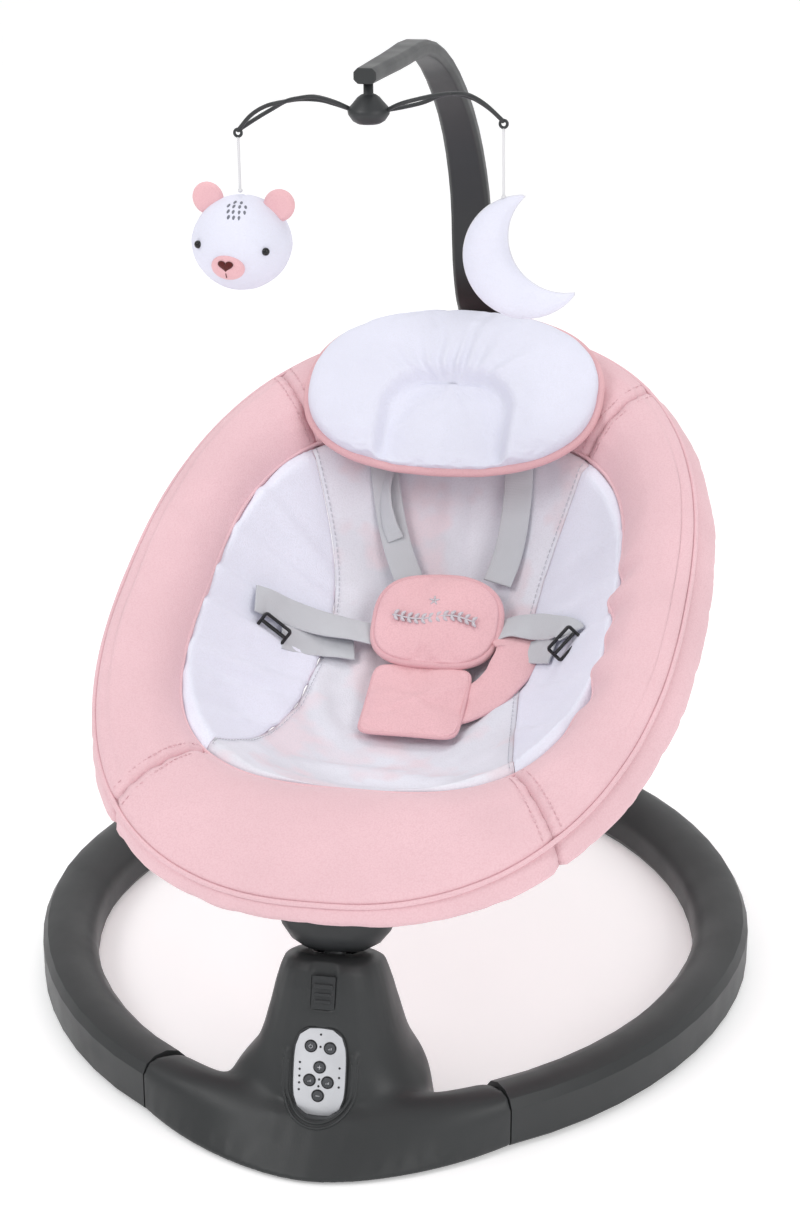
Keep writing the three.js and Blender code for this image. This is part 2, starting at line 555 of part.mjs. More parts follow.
// ---------------------------------------------------------------- toy arch
// [y, z] of the arch's middle line, from its socket behind the head end to its tip over the seat.
const ARCH = [[SOCKET_Y, 396], [SOCKET_Y, 440], [315, 461], [297, 480], [280, 512], [266, 575], [226, 638], [150, 697],
  [76, 726], [-20, 731], [-104, 734]];
const archPath = smoothPath(ARCH.map(([y, z]) => at(0, y, z)), 32);
const archSections = archPath.map((p, i) => {
  const ahead = archPath[Math.min(i + 1, archPath.length - 1)];
  const behind = archPath[Math.max(i - 1, 0)];
  const along = new THREE.Vector3().subVectors(ahead, behind).normalize();
  const out = new THREE.Vector3().crossVectors(at(1, 0, 0), along);
  const share = i / archPath.length;
  const width = lerp(42, 15, share ** 1.5);
  const thick = lerp(17, 11, share);
  return octagon(width, thick, 3).map(([a, b]) => p.clone().add(at(a, 0, 0)).addScaledVector(out, b));
});
const pinSocket = rod(4.2, 715, 733, 14).translate(MOBILE.x, MOBILE.y, 0);
place(upright, 'toy_arch', cut(loft(archSections), pinSocket), plastic);

const socketOuter = stack(superPoints(28, 15, 5, 20), [[382, 0.9], [386, 1], [420, 1], [424, 0.94]]);
const socketInner = stack(superPoints(22.6, 11, 10, 24), [[391, 1], [440, 1]]);
const clampArm = block(30, 28, 10, 0, -26, 401);
const clampRiser = block(24, 8, 24, 0, -36, 411.5);
const socket = cut(join(socketOuter, clampArm, clampRiser), socketInner);
place(upright, 'arch_socket', socket.translate(0, SOCKET_Y, 0), plastic);

// ---------------------------------------------------------------- mobile and toys
const hubTop = MOBILE.z + 19.5;
place(upright, 'mobile_hub', turned([[0, MOBILE.z - 12], [9, MOBILE.z - 11], [14.5, MOBILE.z - 4],
  [8, MOBILE.z + 6], [3.5, MOBILE.z + 7], [3.5, hubTop], [0, hubTop]], 14)
  .translate(MOBILE.x, MOBILE.y, 0), darkPlastic);

function mobileArm(side, endZ) {
  const path = (bow, lift) => smoothPath([[15.5, 0, -3], [28, -bow, 3 + lift], [46, -bow, 6 + lift], [62, 0, 2],
    [80, bow * 0.7, -4 - lift / 2], [ARM_REACH, 0, endZ - MOBILE.z]].map(([x, y, z]) =>
    at(MOBILE.x + side * x, MOBILE.y + y, MOBILE.z + z)), 10);
  const rib = (bow, lift) => strip(path(bow, lift), rectangle(4, 4.4), at(0, 1, 0));
  const tip = new THREE.SphereGeometry(ARM_TIP, 8, 6).translate(MOBILE.x + side * ARM_REACH, MOBILE.y, endZ);
  return join(rib(7, 3), rib(-7, -3), tip);
}
place(upright, 'mobile_arm_left', mobileArm(-1, ARM_END.left), darkPlastic);
place(upright, 'mobile_arm_right', mobileArm(1, ARM_END.right), darkPlastic);

const bearX = MOBILE.x - ARM_REACH;
const moonX = MOBILE.x + ARM_REACH;
const bearHead = new THREE.SphereGeometry(BEAR.radius, 16, 10).rotateX(Math.PI / 2);
const bearEar = (side) => new THREE.SphereGeometry(BEAR.ear, 8, 6)
  .scale(1, 0.6, 1).translate(side * BEAR.earX, 0, BEAR.earZ);
place(upright, 'bear_head', join(bearHead, bearEar(1), bearEar(-1))
  .translate(bearX, MOBILE.y, BEAR.z), white);

// The crescent is a bevelled disc with a round bite out of its upper right.
const half = MOON.thick / 2;
const disc = stack(superPoints(MOON.radius, MOON.radius, 2, 36),
  [[-half, 0.94], [3 - half, 1], [half - 3, 1], [half, 0.94]]);
const bite = rod(MOON.bite, -MOON.thick, MOON.thick, 36).translate(MOON.biteX - MOON.x, MOON.biteZ - MOON.z, 0);
place(upright, 'crescent_moon', cut(disc, bite).rotateX(Math.PI / 2)
  .translate(MOON.x, MOBILE.y, MOON.z), white);

// Each toy hangs on a short string from its arm end.
const bearStringEnd = BEAR.z + BEAR.radius + GAP;
place(upright, 'bear_string', rod(STRING_RADIUS, bearStringEnd, ARM_END.left - ARM_TIP - GAP, 8)
  .translate(bearX, MOBILE.y, 0), webbing);
const moonTop = MOON.z + Math.sqrt(MOON.radius ** 2 - (moonX - MOON.x) ** 2);
place(upright, 'moon_string', rod(STRING_RADIUS, moonTop + GAP, ARM_END.right - ARM_TIP - GAP, 8)
  .translate(moonX, MOBILE.y, 0), webbing);

export default object;
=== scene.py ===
import json
import math

import bmesh
import bpy
import numpy as np
from mathutils import Matrix, Vector, bvhtree, noise


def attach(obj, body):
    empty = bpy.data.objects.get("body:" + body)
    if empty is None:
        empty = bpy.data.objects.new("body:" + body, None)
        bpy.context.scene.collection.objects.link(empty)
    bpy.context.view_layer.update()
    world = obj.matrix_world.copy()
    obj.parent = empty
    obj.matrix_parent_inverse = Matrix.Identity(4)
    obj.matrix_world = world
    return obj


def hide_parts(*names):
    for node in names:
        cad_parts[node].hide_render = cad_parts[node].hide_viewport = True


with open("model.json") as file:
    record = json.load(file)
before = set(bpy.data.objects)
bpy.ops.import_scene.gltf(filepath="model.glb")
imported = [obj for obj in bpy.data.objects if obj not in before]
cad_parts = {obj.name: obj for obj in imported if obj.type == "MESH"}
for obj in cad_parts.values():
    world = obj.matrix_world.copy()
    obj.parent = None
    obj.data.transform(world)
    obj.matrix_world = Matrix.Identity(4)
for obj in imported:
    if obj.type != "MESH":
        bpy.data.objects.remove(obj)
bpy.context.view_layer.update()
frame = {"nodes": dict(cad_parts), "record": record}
nodes = frame["nodes"]

# ------------------------------------------------------------------ shared frame, millimetres
MM = 0.001
HUB = Vector((0, -240, 150))
LEAN = math.radians(20)
SWING = math.radians(-2.7)
SEAT_TILT = math.radians(21.1)
SHIFT = Matrix.Translation((0, 12.2, 0))
TURN = Matrix.Rotation(SWING, 4, Vector((0, math.sin(LEAN), math.cos(LEAN))))
UPRIGHT = SHIFT @ Matrix.Translation(HUB) @ TURN @ Matrix.Translation(-HUB)
SEAT = UPRIGHT @ Matrix.Translation((0, -12, 326)) @ Matrix.Rotation(SEAT_TILT, 4, "X")
BASE = SHIFT
METRES = Matrix.Scale(MM, 4)


def face_frame(centre_y, centre_z, lean):
    """+X right, +Y up the tower's front, +Z out of it."""
    turn = Matrix.Rotation(math.radians(90 - lean), 4, "X")
    return SHIFT @ Matrix.Translation((0, centre_y, centre_z)) @ turn


PANEL = face_frame(-308.2, 61, 15.3)
LOCK = face_frame(-291.3, 120, 18.5)

RIM = (224, 336, 2.35)
MOUTH = (164, 212, 3.1)
MOUTH_SHIFT = 7
MOUTH_DEPTH = 22
BOWL_DEPTH = 108
SEAM_ANGLE = 58


def wobble(x, y, z=0.0, scale=1.0, seed=0.0):
    return noise.noise(Vector((x * scale + seed, y * scale + 1.7 * seed, z * scale)))


def smooth(a, b, x):
    t = min(1.0, max(0.0, (x - a) / (b - a)))
    return t * t * (3 - 2 * t)


def lerp(a, b, t):
    return a + (b - a) * t


# ------------------------------------------------------------------ materials
class Shader:
    """A Principled material with object coordinates in metres, and helpers for its nodes."""

    def __init__(self, name, color, roughness=0.5, metallic=0.0, sheen=0.0, specular=None):
        self.mat = bpy.data.materials.new(name)
        self.mat.use_nodes = True
        self.tree = self.mat.node_tree
        self.bsdf = self.tree.nodes["Principled BSDF"]
        self.bsdf.inputs["Base Color"].default_value = (*color, 1)
        self.bsdf.inputs["Roughness"].default_value = roughness
        self.bsdf.inputs["Metallic"].default_value = metallic
        if specular is not None:
            self.bsdf.inputs["Specular IOR Level"].default_value = specular
        if sheen:
            self.bsdf.inputs["Sheen Weight"].default_value = sheen
            self.bsdf.inputs["Sheen Roughness"].default_value = 0.45
        self.mat.diffuse_color = (*color, 1)
        self.coord = self.node("ShaderNodeTexCoord").outputs["Object"]
        self.height = None

    def node(self, kind, **values):
        n = self.tree.nodes.new(kind)
        for key, value in values.items():
            setattr(n, key, value)
        return n

    def link(self, a, b):
        self.tree.links.new(a, b)

    def noise(self, scale, detail=3.0, roughness=0.5, coord=None):
        n = self.node("ShaderNodeTexNoise")
        n.inputs["Scale"].default_value = scale
        n.inputs["Detail"].default_value = detail
        n.inputs["Roughness"].default_value = roughness
        self.link(coord or self.coord, n.inputs["Vector"])
        return n.outputs["Fac"]

    def voronoi(self, scale, feature="F1"):
        n = self.node("ShaderNodeTexVoronoi", feature=feature)
        n.inputs["Scale"].default_value = scale
        self.link(self.coord, n.inputs["Vector"])
        return n.outputs["Distance"]

    def wave(self, scale, direction="X", distortion=0.0):
        n = self.node("ShaderNodeTexWave", bands_direction=direction)
        n.inputs["Scale"].default_value = scale
        n.inputs["Distortion"].default_value = distortion
        self.link(self.coord, n.inputs["Vector"])
        return n.outputs["Fac"]

    def ramp(self, fac, stops):
        n = self.node("ShaderNodeValToRGB")
        n.color_ramp.elements[0].position = stops[0][0]
        n.color_ramp.elements[0].color = (*stops[0][1], 1)
        n.color_ramp.elements[1].position = stops[-1][0]
        n.color_ramp.elements[1].color = (*stops[-1][1], 1)
        for place, color in stops[1:-1]:
            n.color_ramp.elements.new(place).color = (*color, 1)
        self.link(fac, n.inputs["Fac"])
        return n.outputs["Color"]

    def spread(self, fac, low, high, to_low, to_high):
        n = self.node("ShaderNodeMapRange")
        for key, value in zip(("From Min", "From Max", "To Min", "To Max"), (low, high, to_low, to_high)):
            n.inputs[key].default_value = value
        self.link(fac, n.inputs["Value"])
        return n.outputs["Result"]

    def mix(self, fac, a, b, blend="MIX"):
        n = self.node("ShaderNodeMix", data_type="RGBA", blend_type=blend)
        if isinstance(fac, float):
            n.inputs["Factor"].default_value = fac
        else:
            self.link(fac, n.inputs["Factor"])
        for key, value in (("A", a), ("B", b)):
            socket = [s for s in n.inputs if s.name == key and s.type == "RGBA"][0]
            if isinstance(value, tuple):
                socket.default_value = (*value, 1)
            else:
                self.link(value, socket)
        return [s for s in n.outputs if s.type == "RGBA"][0]

    def color(self, socket):
        self.link(socket, self.bsdf.inputs["Base Color"])

    def roughness(self, socket):
        self.link(socket, self.bsdf.inputs["Roughness"])

    def bump(self, socket, strength, distance):
        n = self.node("ShaderNodeBump")
        n.inputs["Strength"].default_value = strength
        n.inputs["Distance"].default_value = distance
        self.link(socket, n.inputs["Height"])
        if self.height is not None:
            self.link(self.height, n.inputs["Normal"])
        self.height = n.outputs["Normal"]
        self.link(self.height, self.bsdf.inputs["Normal"])


def shade(color, k):
    return tuple(min(1.0, c * k) for c in color)


def moulded(name, color, roughness, grain=1100, edge_highlight=1.5, specular=0.4):
    """Moulded plastic: fine spark-eroded grain, faint mottling, and convex edges made paler by a painted highlight."""
    s = Shader(name, color, roughness, specular=specular)
    tone = s.ramp(s.noise(9, 4), [(0.3, shade(color, 0.93)), (0.7, shade(color, 1.07))])
    # painted highlight: convex edges, found by pointiness, are given a lighter colour
    edge = s.spread(s.node("ShaderNodeNewGeometry").outputs["Pointiness"], 0.52, 0.6, 0, 0.5)
    s.color(s.mix(edge, tone, shade(color, edge_highlight)))
    s.roughness(s.spread(s.noise(30, 3), 0.3, 0.7, roughness - 0.05, roughness + 0.06))
    s.bump(s.noise(grain, 2), 0.25, 0.0002)
    return s.mat


def knit(name, color, deep, sheen=0.25, scale=760, mottle=0.05, strength=0.35):
    """Brushed knit: small loops, fine fuzz and a soft mottled tone."""
    s = Shader(name, color, 0.86, sheen=sheen, specular=0.15)
    loops = s.voronoi(scale)
    tone = s.ramp(s.noise(14, 4), [(0.3, shade(color, 1 - mottle)), (0.7, shade(color, 1 + mottle / 2))])
    s.color(s.mix(s.spread(loops, 0.35, 0.75, 0, 0.35), tone, deep))
    s.roughness(s.spread(s.noise(60, 2), 0.3, 0.7, 0.8, 0.93))
    s.bump(loops, strength, 0.0005)
    s.bump(s.noise(2600, 2), 0.2, 0.0003)
    s.bump(s.noise(38, 3), 0.25, 0.0015)
    return s.mat


PINK = (0.80, 0.535, 0.575)
WHITE = (0.745, 0.75, 0.865)

pink = knit("pink_knit", PINK, (0.70, 0.42, 0.46))
pink_edge = knit("pink_binding", (0.77, 0.46, 0.49), (0.62, 0.34, 0.37), scale=1400)
pink_rose = knit("pink_rose", (0.82, 0.505, 0.535), (0.68, 0.38, 0.41))
white = knit("white_knit", WHITE, (0.72, 0.72, 0.80), sheen=0.15)
# painted light: a brighter, bluer copy of the white knit that lifts the side panels out of the shade they sit in
lit_wing_white = knit("wing_knit_painted_light", (0.81, 0.82, 0.93), (0.74, 0.74, 0.82), sheen=0.15)
thread_pink = knit("thread_pink", (0.78, 0.50, 0.54), (0.66, 0.4, 0.44), scale=3000)
thread_grey = knit("thread_grey", (0.56, 0.57, 0.62), (0.46, 0.46, 0.5), scale=3000)
print_grey = knit("print_grey", (0.2, 0.21, 0.25), (0.14, 0.15, 0.18), scale=3000)
thread_silver = knit("thread_silver", (0.66, 0.62, 0.66), (0.5, 0.48, 0.52), scale=3000)
thread_white = knit("thread_white", (0.8, 0.8, 0.84), (0.6, 0.6, 0.66), scale=3000)


def printed():
    """The liner's print: soft pink and grey cloud blobs on a pale ground."""
    s = Shader("printed_liner", (0.78, 0.77, 0.82), 0.88, sheen=0.12, specular=0.15)
    ground = s.mix(s.spread(s.noise(10, 3), 0.42, 0.62, 0, 1), (0.80, 0.80, 0.87), (0.70, 0.70, 0.76))
    blush = s.spread(s.noise(19, 2.6, 0.6), 0.50, 0.62, 0, 0.75)
    cloud = s.mix(blush, ground, (0.80, 0.67, 0.72))
    loops = s.voronoi(760)
    s.color(s.mix(s.spread(loops, 0.4, 0.8, 0, 0.2), cloud, (0.6, 0.58, 0.64)))
    s.bump(loops, 0.3, 0.0005)
    s.bump(s.noise(34, 3), 0.3, 0.0018)
    return s.mat


def woven(name, color):
    """Webbing: a tight rib across the strap with a fine diagonal."""
    s = Shader(name, color, 0.75, sheen=0.1, specular=0.25)
    rib = s.wave(420, "DIAGONAL", 0.4)
    weft = s.wave(520, "Y", 0.3)
    both = s.mix(0.5, rib, weft)
    s.color(s.mix(s.spread(rib, 0.2, 0.8, 0, 0.5), shade(color, 1.1), shade(color, 0.72)))
    s.bump(both, 0.5, 0.0004)
    return s.mat


def metal(name, color, roughness, direction="X"):
    s = Shader(name, color, roughness, metallic=1.0)
    s.roughness(s.spread(s.noise(220, 3), 0.3, 0.7, roughness - 0.06, roughness + 0.1))
    s.bump(s.wave(600, direction, 2.0), 0.08, 0.0002)
    s.color(s.ramp(s.noise(40, 3), [(0.3, shade(color, 0.9)), (0.7, shade(color, 1.05))]))
    return s.mat


def silver_paint():
    s = Shader("silver_panel", (0.6, 0.61, 0.64), 0.32, metallic=0.55)
    s.color(s.ramp(s.noise(24, 2), [(0.3, (0.56, 0.57, 0.60)), (0.7, (0.68, 0.69, 0.72))]))
    s.bump(s.noise(2400, 1), 0.08, 0.0001)
    s.roughness(s.spread(s.noise(90, 3), 0.3, 0.7, 0.28, 0.38))
    return s.mat


def circuit():
    s = Shader("green_board", (0.02, 0.12, 0.06), 0.45)
    lines = s.spread(s.wave(160, "X", 6.0), 0.45, 0.55, 0, 0.6)
    s.color(s.mix(lines, (0.015, 0.1, 0.05), (0.05, 0.22, 0.12)))
    s.bump(lines, 0.2, 0.0001)
    return s.mat


plastic = moulded("grey_plastic", (0.034, 0.0363, 0.0375), 0.42, specular=0.32)
dark = moulded("dark_plastic", (0.028, 0.030, 0.032), 0.44)
# the black plastic gets a stronger painted highlight on its edges
black = moulded("black_plastic", (0.012, 0.012, 0.014), 0.32, edge_highlight=2.2)
rubber = moulded("foot_rubber", (0.022, 0.022, 0.023), 0.85, grain=700, specular=0.2)
steel = metal("zinc_steel", (0.5, 0.51, 0.53), 0.32)
copper = metal("copper_winding", (0.62, 0.27, 0.12), 0.35, "Z")
silver = silver_paint()
green_board = circuit()
button_face = moulded("button_face", (0.055, 0.058, 0.064), 0.38, grain=1600)
button_ring = moulded("button_ring", (0.012, 0.012, 0.013), 0.3)
icon_paint = moulded("icon_paint", (0.62, 0.63, 0.66), 0.5)
lamp_dot = moulded("lamp_dot", (0.02, 0.02, 0.022), 0.2)
eye_black = moulded("eye_bead", (0.006, 0.006, 0.007), 0.12, grain=3000)
nose_red = knit("nose_thread", (0.11, 0.022, 0.02), (0.06, 0.01, 0.01), scale=2200)
muzzle_pink = knit("muzzle_felt", (0.82, 0.50, 0.53), (0.7, 0.36, 0.4), scale=1500)
string_white = woven("toy_string", (0.72, 0.72, 0.74))
webbing = woven("grey_webbing", (0.56, 0.575, 0.605))
liner_print = printed()


# ------------------------------------------------------------------ mesh helpers
def make(name, verts, faces, space, body, material, slot, replaces=(), flat=False):
    """A mesh given in millimetres of a local space, placed in the row frame and riding on body."""
    mesh = bpy.data.meshes.new(name)
    mesh.from_pydata([tuple(v) for v in verts], [], faces)
    mesh.transform(METRES @ space)
    bm = bmesh.new()
    bm.from_mesh(mesh)
    bmesh.ops.recalc_face_normals(bm, faces=bm.faces)
    bm.to_mesh(mesh)
    bm.free()
    mesh.materials.append(material)
    mesh.shade_flat() if flat else mesh.shade_smooth()
    obj = bpy.data.objects.new(name, mesh)
    bpy.context.scene.collection.objects.link(obj)
    obj["body"] = body
    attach(obj, body)
    if replaces:
        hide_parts(*replaces)
    return obj


def grid_faces(rows, columns, close_rows=False, close_columns=False):
    faces = []
    for i in range(rows if close_rows else rows - 1):
        for j in range(columns if close_columns else columns - 1):
            a, b = i * columns + j, i * columns + (j + 1) % columns
            c, d = ((i + 1) % rows) * columns + (j + 1) % columns, ((i + 1) % rows) * columns + j
            faces.append((a, b, c, d))
    return faces


def loft(sections, close=False):
    """Rings of points joined into a closed body, capped at both ends unless it closes on itself."""
    n = len(sections[0])
    verts = [p for s in sections for p in s]
    faces = grid_faces(len(sections), n, close, True)
    if not close:
        faces.append(tuple(range(n))[::-1])
        faces.append(tuple(range((len(sections) - 1) * n, len(sections) * n)))
    return verts, faces


def curve_points(points, count):
    """A smooth line through the points (Catmull-Rom), count points long."""
    p = [Vector(q) for q in points]
    p = [p[0] * 2 - p[1], *p, p[-1] * 2 - p[-2]]
    out = []
    for k in range(count):
        t = k / (count - 1) * (len(p) - 3)
        i = min(int(t), len(p) - 4)
        t -= i
        a, b, c, d = p[i:i + 4]
        out.append(0.5 * (2 * b + (c - a) * t + (2 * a - 5 * b + 4 * c - d) * t * t
                          + (3 * b - a - 3 * c + d) * t ** 3))
    return out


def tube(path, radius, sides=10, close=False, across=None):
    """A round or oval tube; radius is a number, a pair, or a function of the share along it."""
    n = len(path)
    sections = []
    side = None
    for i, p in enumerate(path):
        ahead = path[(i + 1) % n] if close else path[min(i + 1, n - 1)]
        behind = path[i - 1] if (close or i) else path[0]
        along = (ahead - behind).normalized()
        if across is not None:
            side = Vector(across)
        elif side is None:
            side = along.orthogonal()
        up = along.cross(side).normalized()
        side = up.cross(along).normalized()
        r = radius(i / max(1, n - 1)) if callable(radius) else radius
        a, b = r if isinstance(r, tuple) else (r, r)
        sections.append([p + side * (a * math.cos(w)) + up * (b * math.sin(w))
                         for w in (2 * math.pi * k / sides for k in range(sides))])
    return loft(sections, close)


def join(*parts):
    verts, faces = [], []
    for v, f in parts:
        k = len(verts)
        verts += list(v)
        faces += [tuple(i + k for i in face) for face in f]
    return verts, faces


def moved(part, matrix):
    return [matrix @ Vector(v) for v in part[0]], part[1]


def turned(profile, sides=48):
    """A body turned about +Z from [radius, height] points that start and end on the axis."""
    rows = [[Vector((r * math.cos(w), r * math.sin(w), h))
             for w in (2 * math.pi * k / sides for k in range(sides))] for r, h in profile[1:-1]]
    verts = [p for row in rows for p in row]
    faces = grid_faces(len(rows), sides, False, True)
    for end, row in ((0, 0), (-1, len(rows) - 1)):
        verts.append(Vector((0, 0, profile[end][1])))
        tip = len(verts) - 1
        faces += [(row * sides + k, row * sides + (k + 1) % sides, tip) for k in range(sides)]
    return verts, faces


def ball(rx, ry, rz, rings=16, sides=24):
    profile = [(math.sin(math.pi * i / rings), -math.cos(math.pi * i / rings)) for i in range(rings + 1)]
    v, f = turned([(r, h) for r, h in profile], sides)
    return [Vector((p.x * rx, p.y * ry, p.z * rz)) for p in v], f


def super_radius(shape, angle):
    a, b, n = shape
    return (abs(math.cos(angle) / a) ** n + abs(math.sin(angle) / b) ** n) ** (-1 / n)


def oval(shape, degrees, shift=0.0):
    w = math.radians(degrees)
    r = super_radius(shape, w)
    return Vector((r * math.cos(w), r * math.sin(w) + shift, 0))


def set_mesh(obj, points):
    obj.data.vertices.foreach_set("co", np.asarray(points, np.float32).ravel())
    obj.data.update()


def points_of(obj):
    co = np.empty(len(obj.data.vertices) * 3, np.float32)
    obj.data.vertices.foreach_get("co", co)
    return co.reshape(-1, 3).astype(float)


def subdivide(obj, levels=1):
    m = obj.modifiers.new("subdivision", "SUBSURF")
    m.levels = m.render_levels = levels
    return obj


def puff(obj, pressure, frames, cap, held=None, grow=0.0, stiff=12.0):
    """Inflates a padded piece with a cloth simulation and keeps the result, capped in millimetres."""
    rest = points_of(obj)
    mod = obj.modifiers.new("cloth", "CLOTH")
    s = mod.settings
    s.quality = 6
    s.mass = 0.25
    s.tension_stiffness = s.compression_stiffness = stiff
    s.shear_stiffness = stiff / 2
    s.bending_stiffness = 0.6
    s.use_pressure = True
    s.uniform_pressure_force = pressure
    s.shrink_min = -grow
    s.effector_weights.gravity = 0
    mod.collision_settings.use_collision = False
    if held is not None:
        group = obj.vertex_groups.new(name="held")
        for i, w in enumerate(held):
            if w > 0:
                group.add([i], float(w), "REPLACE")
        s.vertex_group_mass = "held"
    mod.point_cache.frame_start = 1
    mod.point_cache.frame_end = frames
    for f in range(1, frames + 1):
        bpy.context.scene.frame_set(f)
    shown = obj.evaluated_get(bpy.context.evaluated_depsgraph_get())
    co = np.empty(len(shown.data.vertices) * 3, np.float32)
    shown.data.vertices.foreach_get("co", co)
    moved_by = co.reshape(-1, 3).astype(float) - rest
    far = np.linalg.norm(moved_by, axis=1, keepdims=True)
    moved_by *= np.minimum(1, cap * MM / np.maximum(far, 1e-9))
    obj.modifiers.remove(mod)
    bpy.context.scene.frame_set(1)
    set_mesh(obj, rest + moved_by)
    return obj


def stitches(name, path, out, body, material, slot, length=3.2, gap=1.9, radius=0.42, sink=0.15):
    """A row of thread stitches along a line of points; out gives the surface's normal at a point."""
    total, marks = 0.0, [0.0]
    for a, b in zip(path, path[1:]):
        total += (b - a).length
        marks.append(total)

    def at(d):
        k = int(np.searchsorted(marks, d))
        k = min(max(k, 1), len(path) - 1)
        t = (d - marks[k - 1]) / max(1e-9, marks[k] - marks[k - 1])
        return path[k - 1].lerp(path[k], t)

    parts = []
    for i in range(int(total / (length + gap))):
        start = i * (length + gap) + gap / 2
        a, m, b = at(start), at(start + length / 2), at(start + length)
        n = out(m)
        line = [a - n * radius * 0.8, a.lerp(m, 0.5) + n * sink, m + n * (sink + radius * 0.4),
                m.lerp(b, 0.5) + n * sink, b - n * radius * 0.8]
        parts.append(tube(line, radius, 5))
    v, f = join(*parts)
    return make(name, v, f, SEAT, body, material, slot)


# ------------------------------------------------------------------ seat cover
def cover_profile():
    """[inset, share, height] from the mouth, over the padded rim, to the underside of the wrap."""
    return [(0, 1.015, -29), (0, 1, -23.5), (0, 0.97, -19.5), (0, 0.9, -12.5), (0, 0.8, -5.5), (0, 0.66, 1.0),
            (0, 0.5, 4.6), (0, 0.36, 6.2), (0, 0.22, 6.2), (12, 0, 4.8), (5.5, 0, 3.2), (2.2, 0, 1.0)]


def wrap_profile(bulge, depth):
    shape = [(1.5, -3.0), (-0.35 * bulge, -9), (-0.85 * bulge, -17), (-bulge, -25), (-0.6 * bulge + 1, -33),
             (5, -39), (12, -42)]
    return [(inset, z * depth) for inset, z in shape]


def wrap_depth(degrees):
    """The wrap is shallow under the foot end, deeper at the head and deepest at the sides."""
    w = math.radians(degrees)
    return 0.5 + 0.5 * abs(math.cos(w)) ** 1.2 + 0.12 * max(0.0, math.sin(w))


def bulge_at(degrees):
    """How far the cover swells out below its piping: most on the right, and not at all by the arch."""
    right = max(0.0, math.cos(math.radians(degrees - 8)))
    beside_arch = math.exp(-((degrees - 90) / 9) ** 4)
    return 3.5 + 10.5 * right ** 0.7 - 7 * beside_arch


def mouth_waves(degrees):
    """The mouth's edge is pulled into small scallops on its right side."""
    d = (degrees + 180) % 360 - 180
    k = smooth(-52, -34, d) * (1 - smooth(8, 28, d))
    return k * (2.6 * math.sin(math.radians(d) * 26) + 2.0 * math.sin(math.radians(d) * 15 + 1))


def cover_point(degrees, row):
    kind, a, b, c = row
    rim = oval(RIM, degrees)
    mouth = oval(MOUTH, degrees, MOUTH_SHIFT)
    inward = (mouth - rim)
    width = inward.length
    inward = inward / width
    p = rim + inward * (a + b * width)
    if kind == "top":
        fade = smooth(0.55, 1.0, b)
        p = p + inward * (mouth_waves(degrees) * fade)
    return Vector((p.x, p.y, c))


def cover_rows(degrees):
    rows = [("top", a, b, c) for a, b, c in cover_profile()]
    rows += [("wrap", inset, 0.0, z) for inset, z in
             wrap_profile(bulge_at(degrees), wrap_depth(degrees))]
    return rows


def cover_panel(name, start, end, replaces):
    steps = max(30, int((end - start) * 0.95))
    ridge = []
    for k in range(steps + 1):
        u = k / steps
        degrees = lerp(start + 0.03, end - 0.03, u)
        line = curve_points([cover_point(degrees, r) for r in cover_rows(degrees)], 60)
        edge = min(u, 1 - u) * (end - start) * math.radians(1) * 270
        ridge.append((degrees, edge, line))
    outer, inner = [], []
    for degrees, edge, line in ridge:
        seam = math.exp(-edge / 3.2)
        top, under = [], []
        for j, p in enumerate(line):
            v = j / (len(line) - 1)
            before, after = line[max(j - 1, 0)], line[min(j + 1, len(line) - 1)]
            along = (after - before).normalized()
            side = Vector((-math.sin(math.radians(degrees)), math.cos(math.radians(degrees)), 0))
            n = along.cross(side).normalized()
            body_part = math.sin(math.pi * min(1, v / 0.66)) if v < 0.66 else math.sin(math.pi * (v - 0.66) / 0.34)
            soft = 1.5 * wobble(p.x, p.y, p.z, 0.016, 3) + 0.9 * wobble(p.x, p.y, p.z, 0.04, 9)
            pucker = 0.9 * math.exp(-edge / 16) * math.sin(v * 70 + 2.4 * wobble(p.x, p.y, 0, 0.05, 5))
            lift = body_part * (2.6 * (1 - seam) - 1.2 + soft) + pucker * body_part - 1.5 * seam
            crease = 1.8 * max(0.0, wobble(degrees * 0.35, v * 2.4, 0.0, 1.0, 17)) * smooth(0.7, 0.8, v)
            top.append(p + n * (lift - crease))
            under.append(p - n * 4.0 + n * 0.3 * lift)
        outer.append(top)
        inner.append(under)
    sections = [top + under[::-1] for top, under in zip(outer, inner)]
    v, f = loft(sections)
    obj = make(name, v, f, SEAT, "seat", pink, "pink_fabric", replaces)
    return outer


COVER = [("cover_fabric_right", -SEAM_ANGLE, SEAM_ANGLE, "cover_right"),
         ("cover_fabric_head", SEAM_ANGLE, 180 - SEAM_ANGLE, "cover_head"),
         ("cover_fabric_left", 180 - SEAM_ANGLE, 180 + SEAM_ANGLE, "cover_left"),
         ("cover_fabric_foot", 180 + SEAM_ANGLE, 360 - SEAM_ANGLE, "cover_foot")]
panels = {name: cover_panel(name, a, b, [node]) for name, a, b, node in COVER}

piping_line = [oval(RIM, d) + Vector((0, 0, -1.2 + 0.5 * wobble(d * 0.13, 0, 0, 1, 2))) for d in
               np.arange(0, 360, 1.25)]
v, f = tube(piping_line, 1.9, 10, True, across=(0, 0, 1))
make("rim_piping", v, f, SEAT, "seat", pink, "pink_fabric")
mouth_line = []
for d in np.arange(0, 360, 1.0):
    edge = cover_point(float(d), ("top", 0, 0.992, -22.4))
    mouth_line.append(edge)
v, f = tube(mouth_line, 1.7, 8, True, across=(0, 0, 1))
make("mouth_binding", v, f, SEAT, "seat", pink, "pink_fabric")

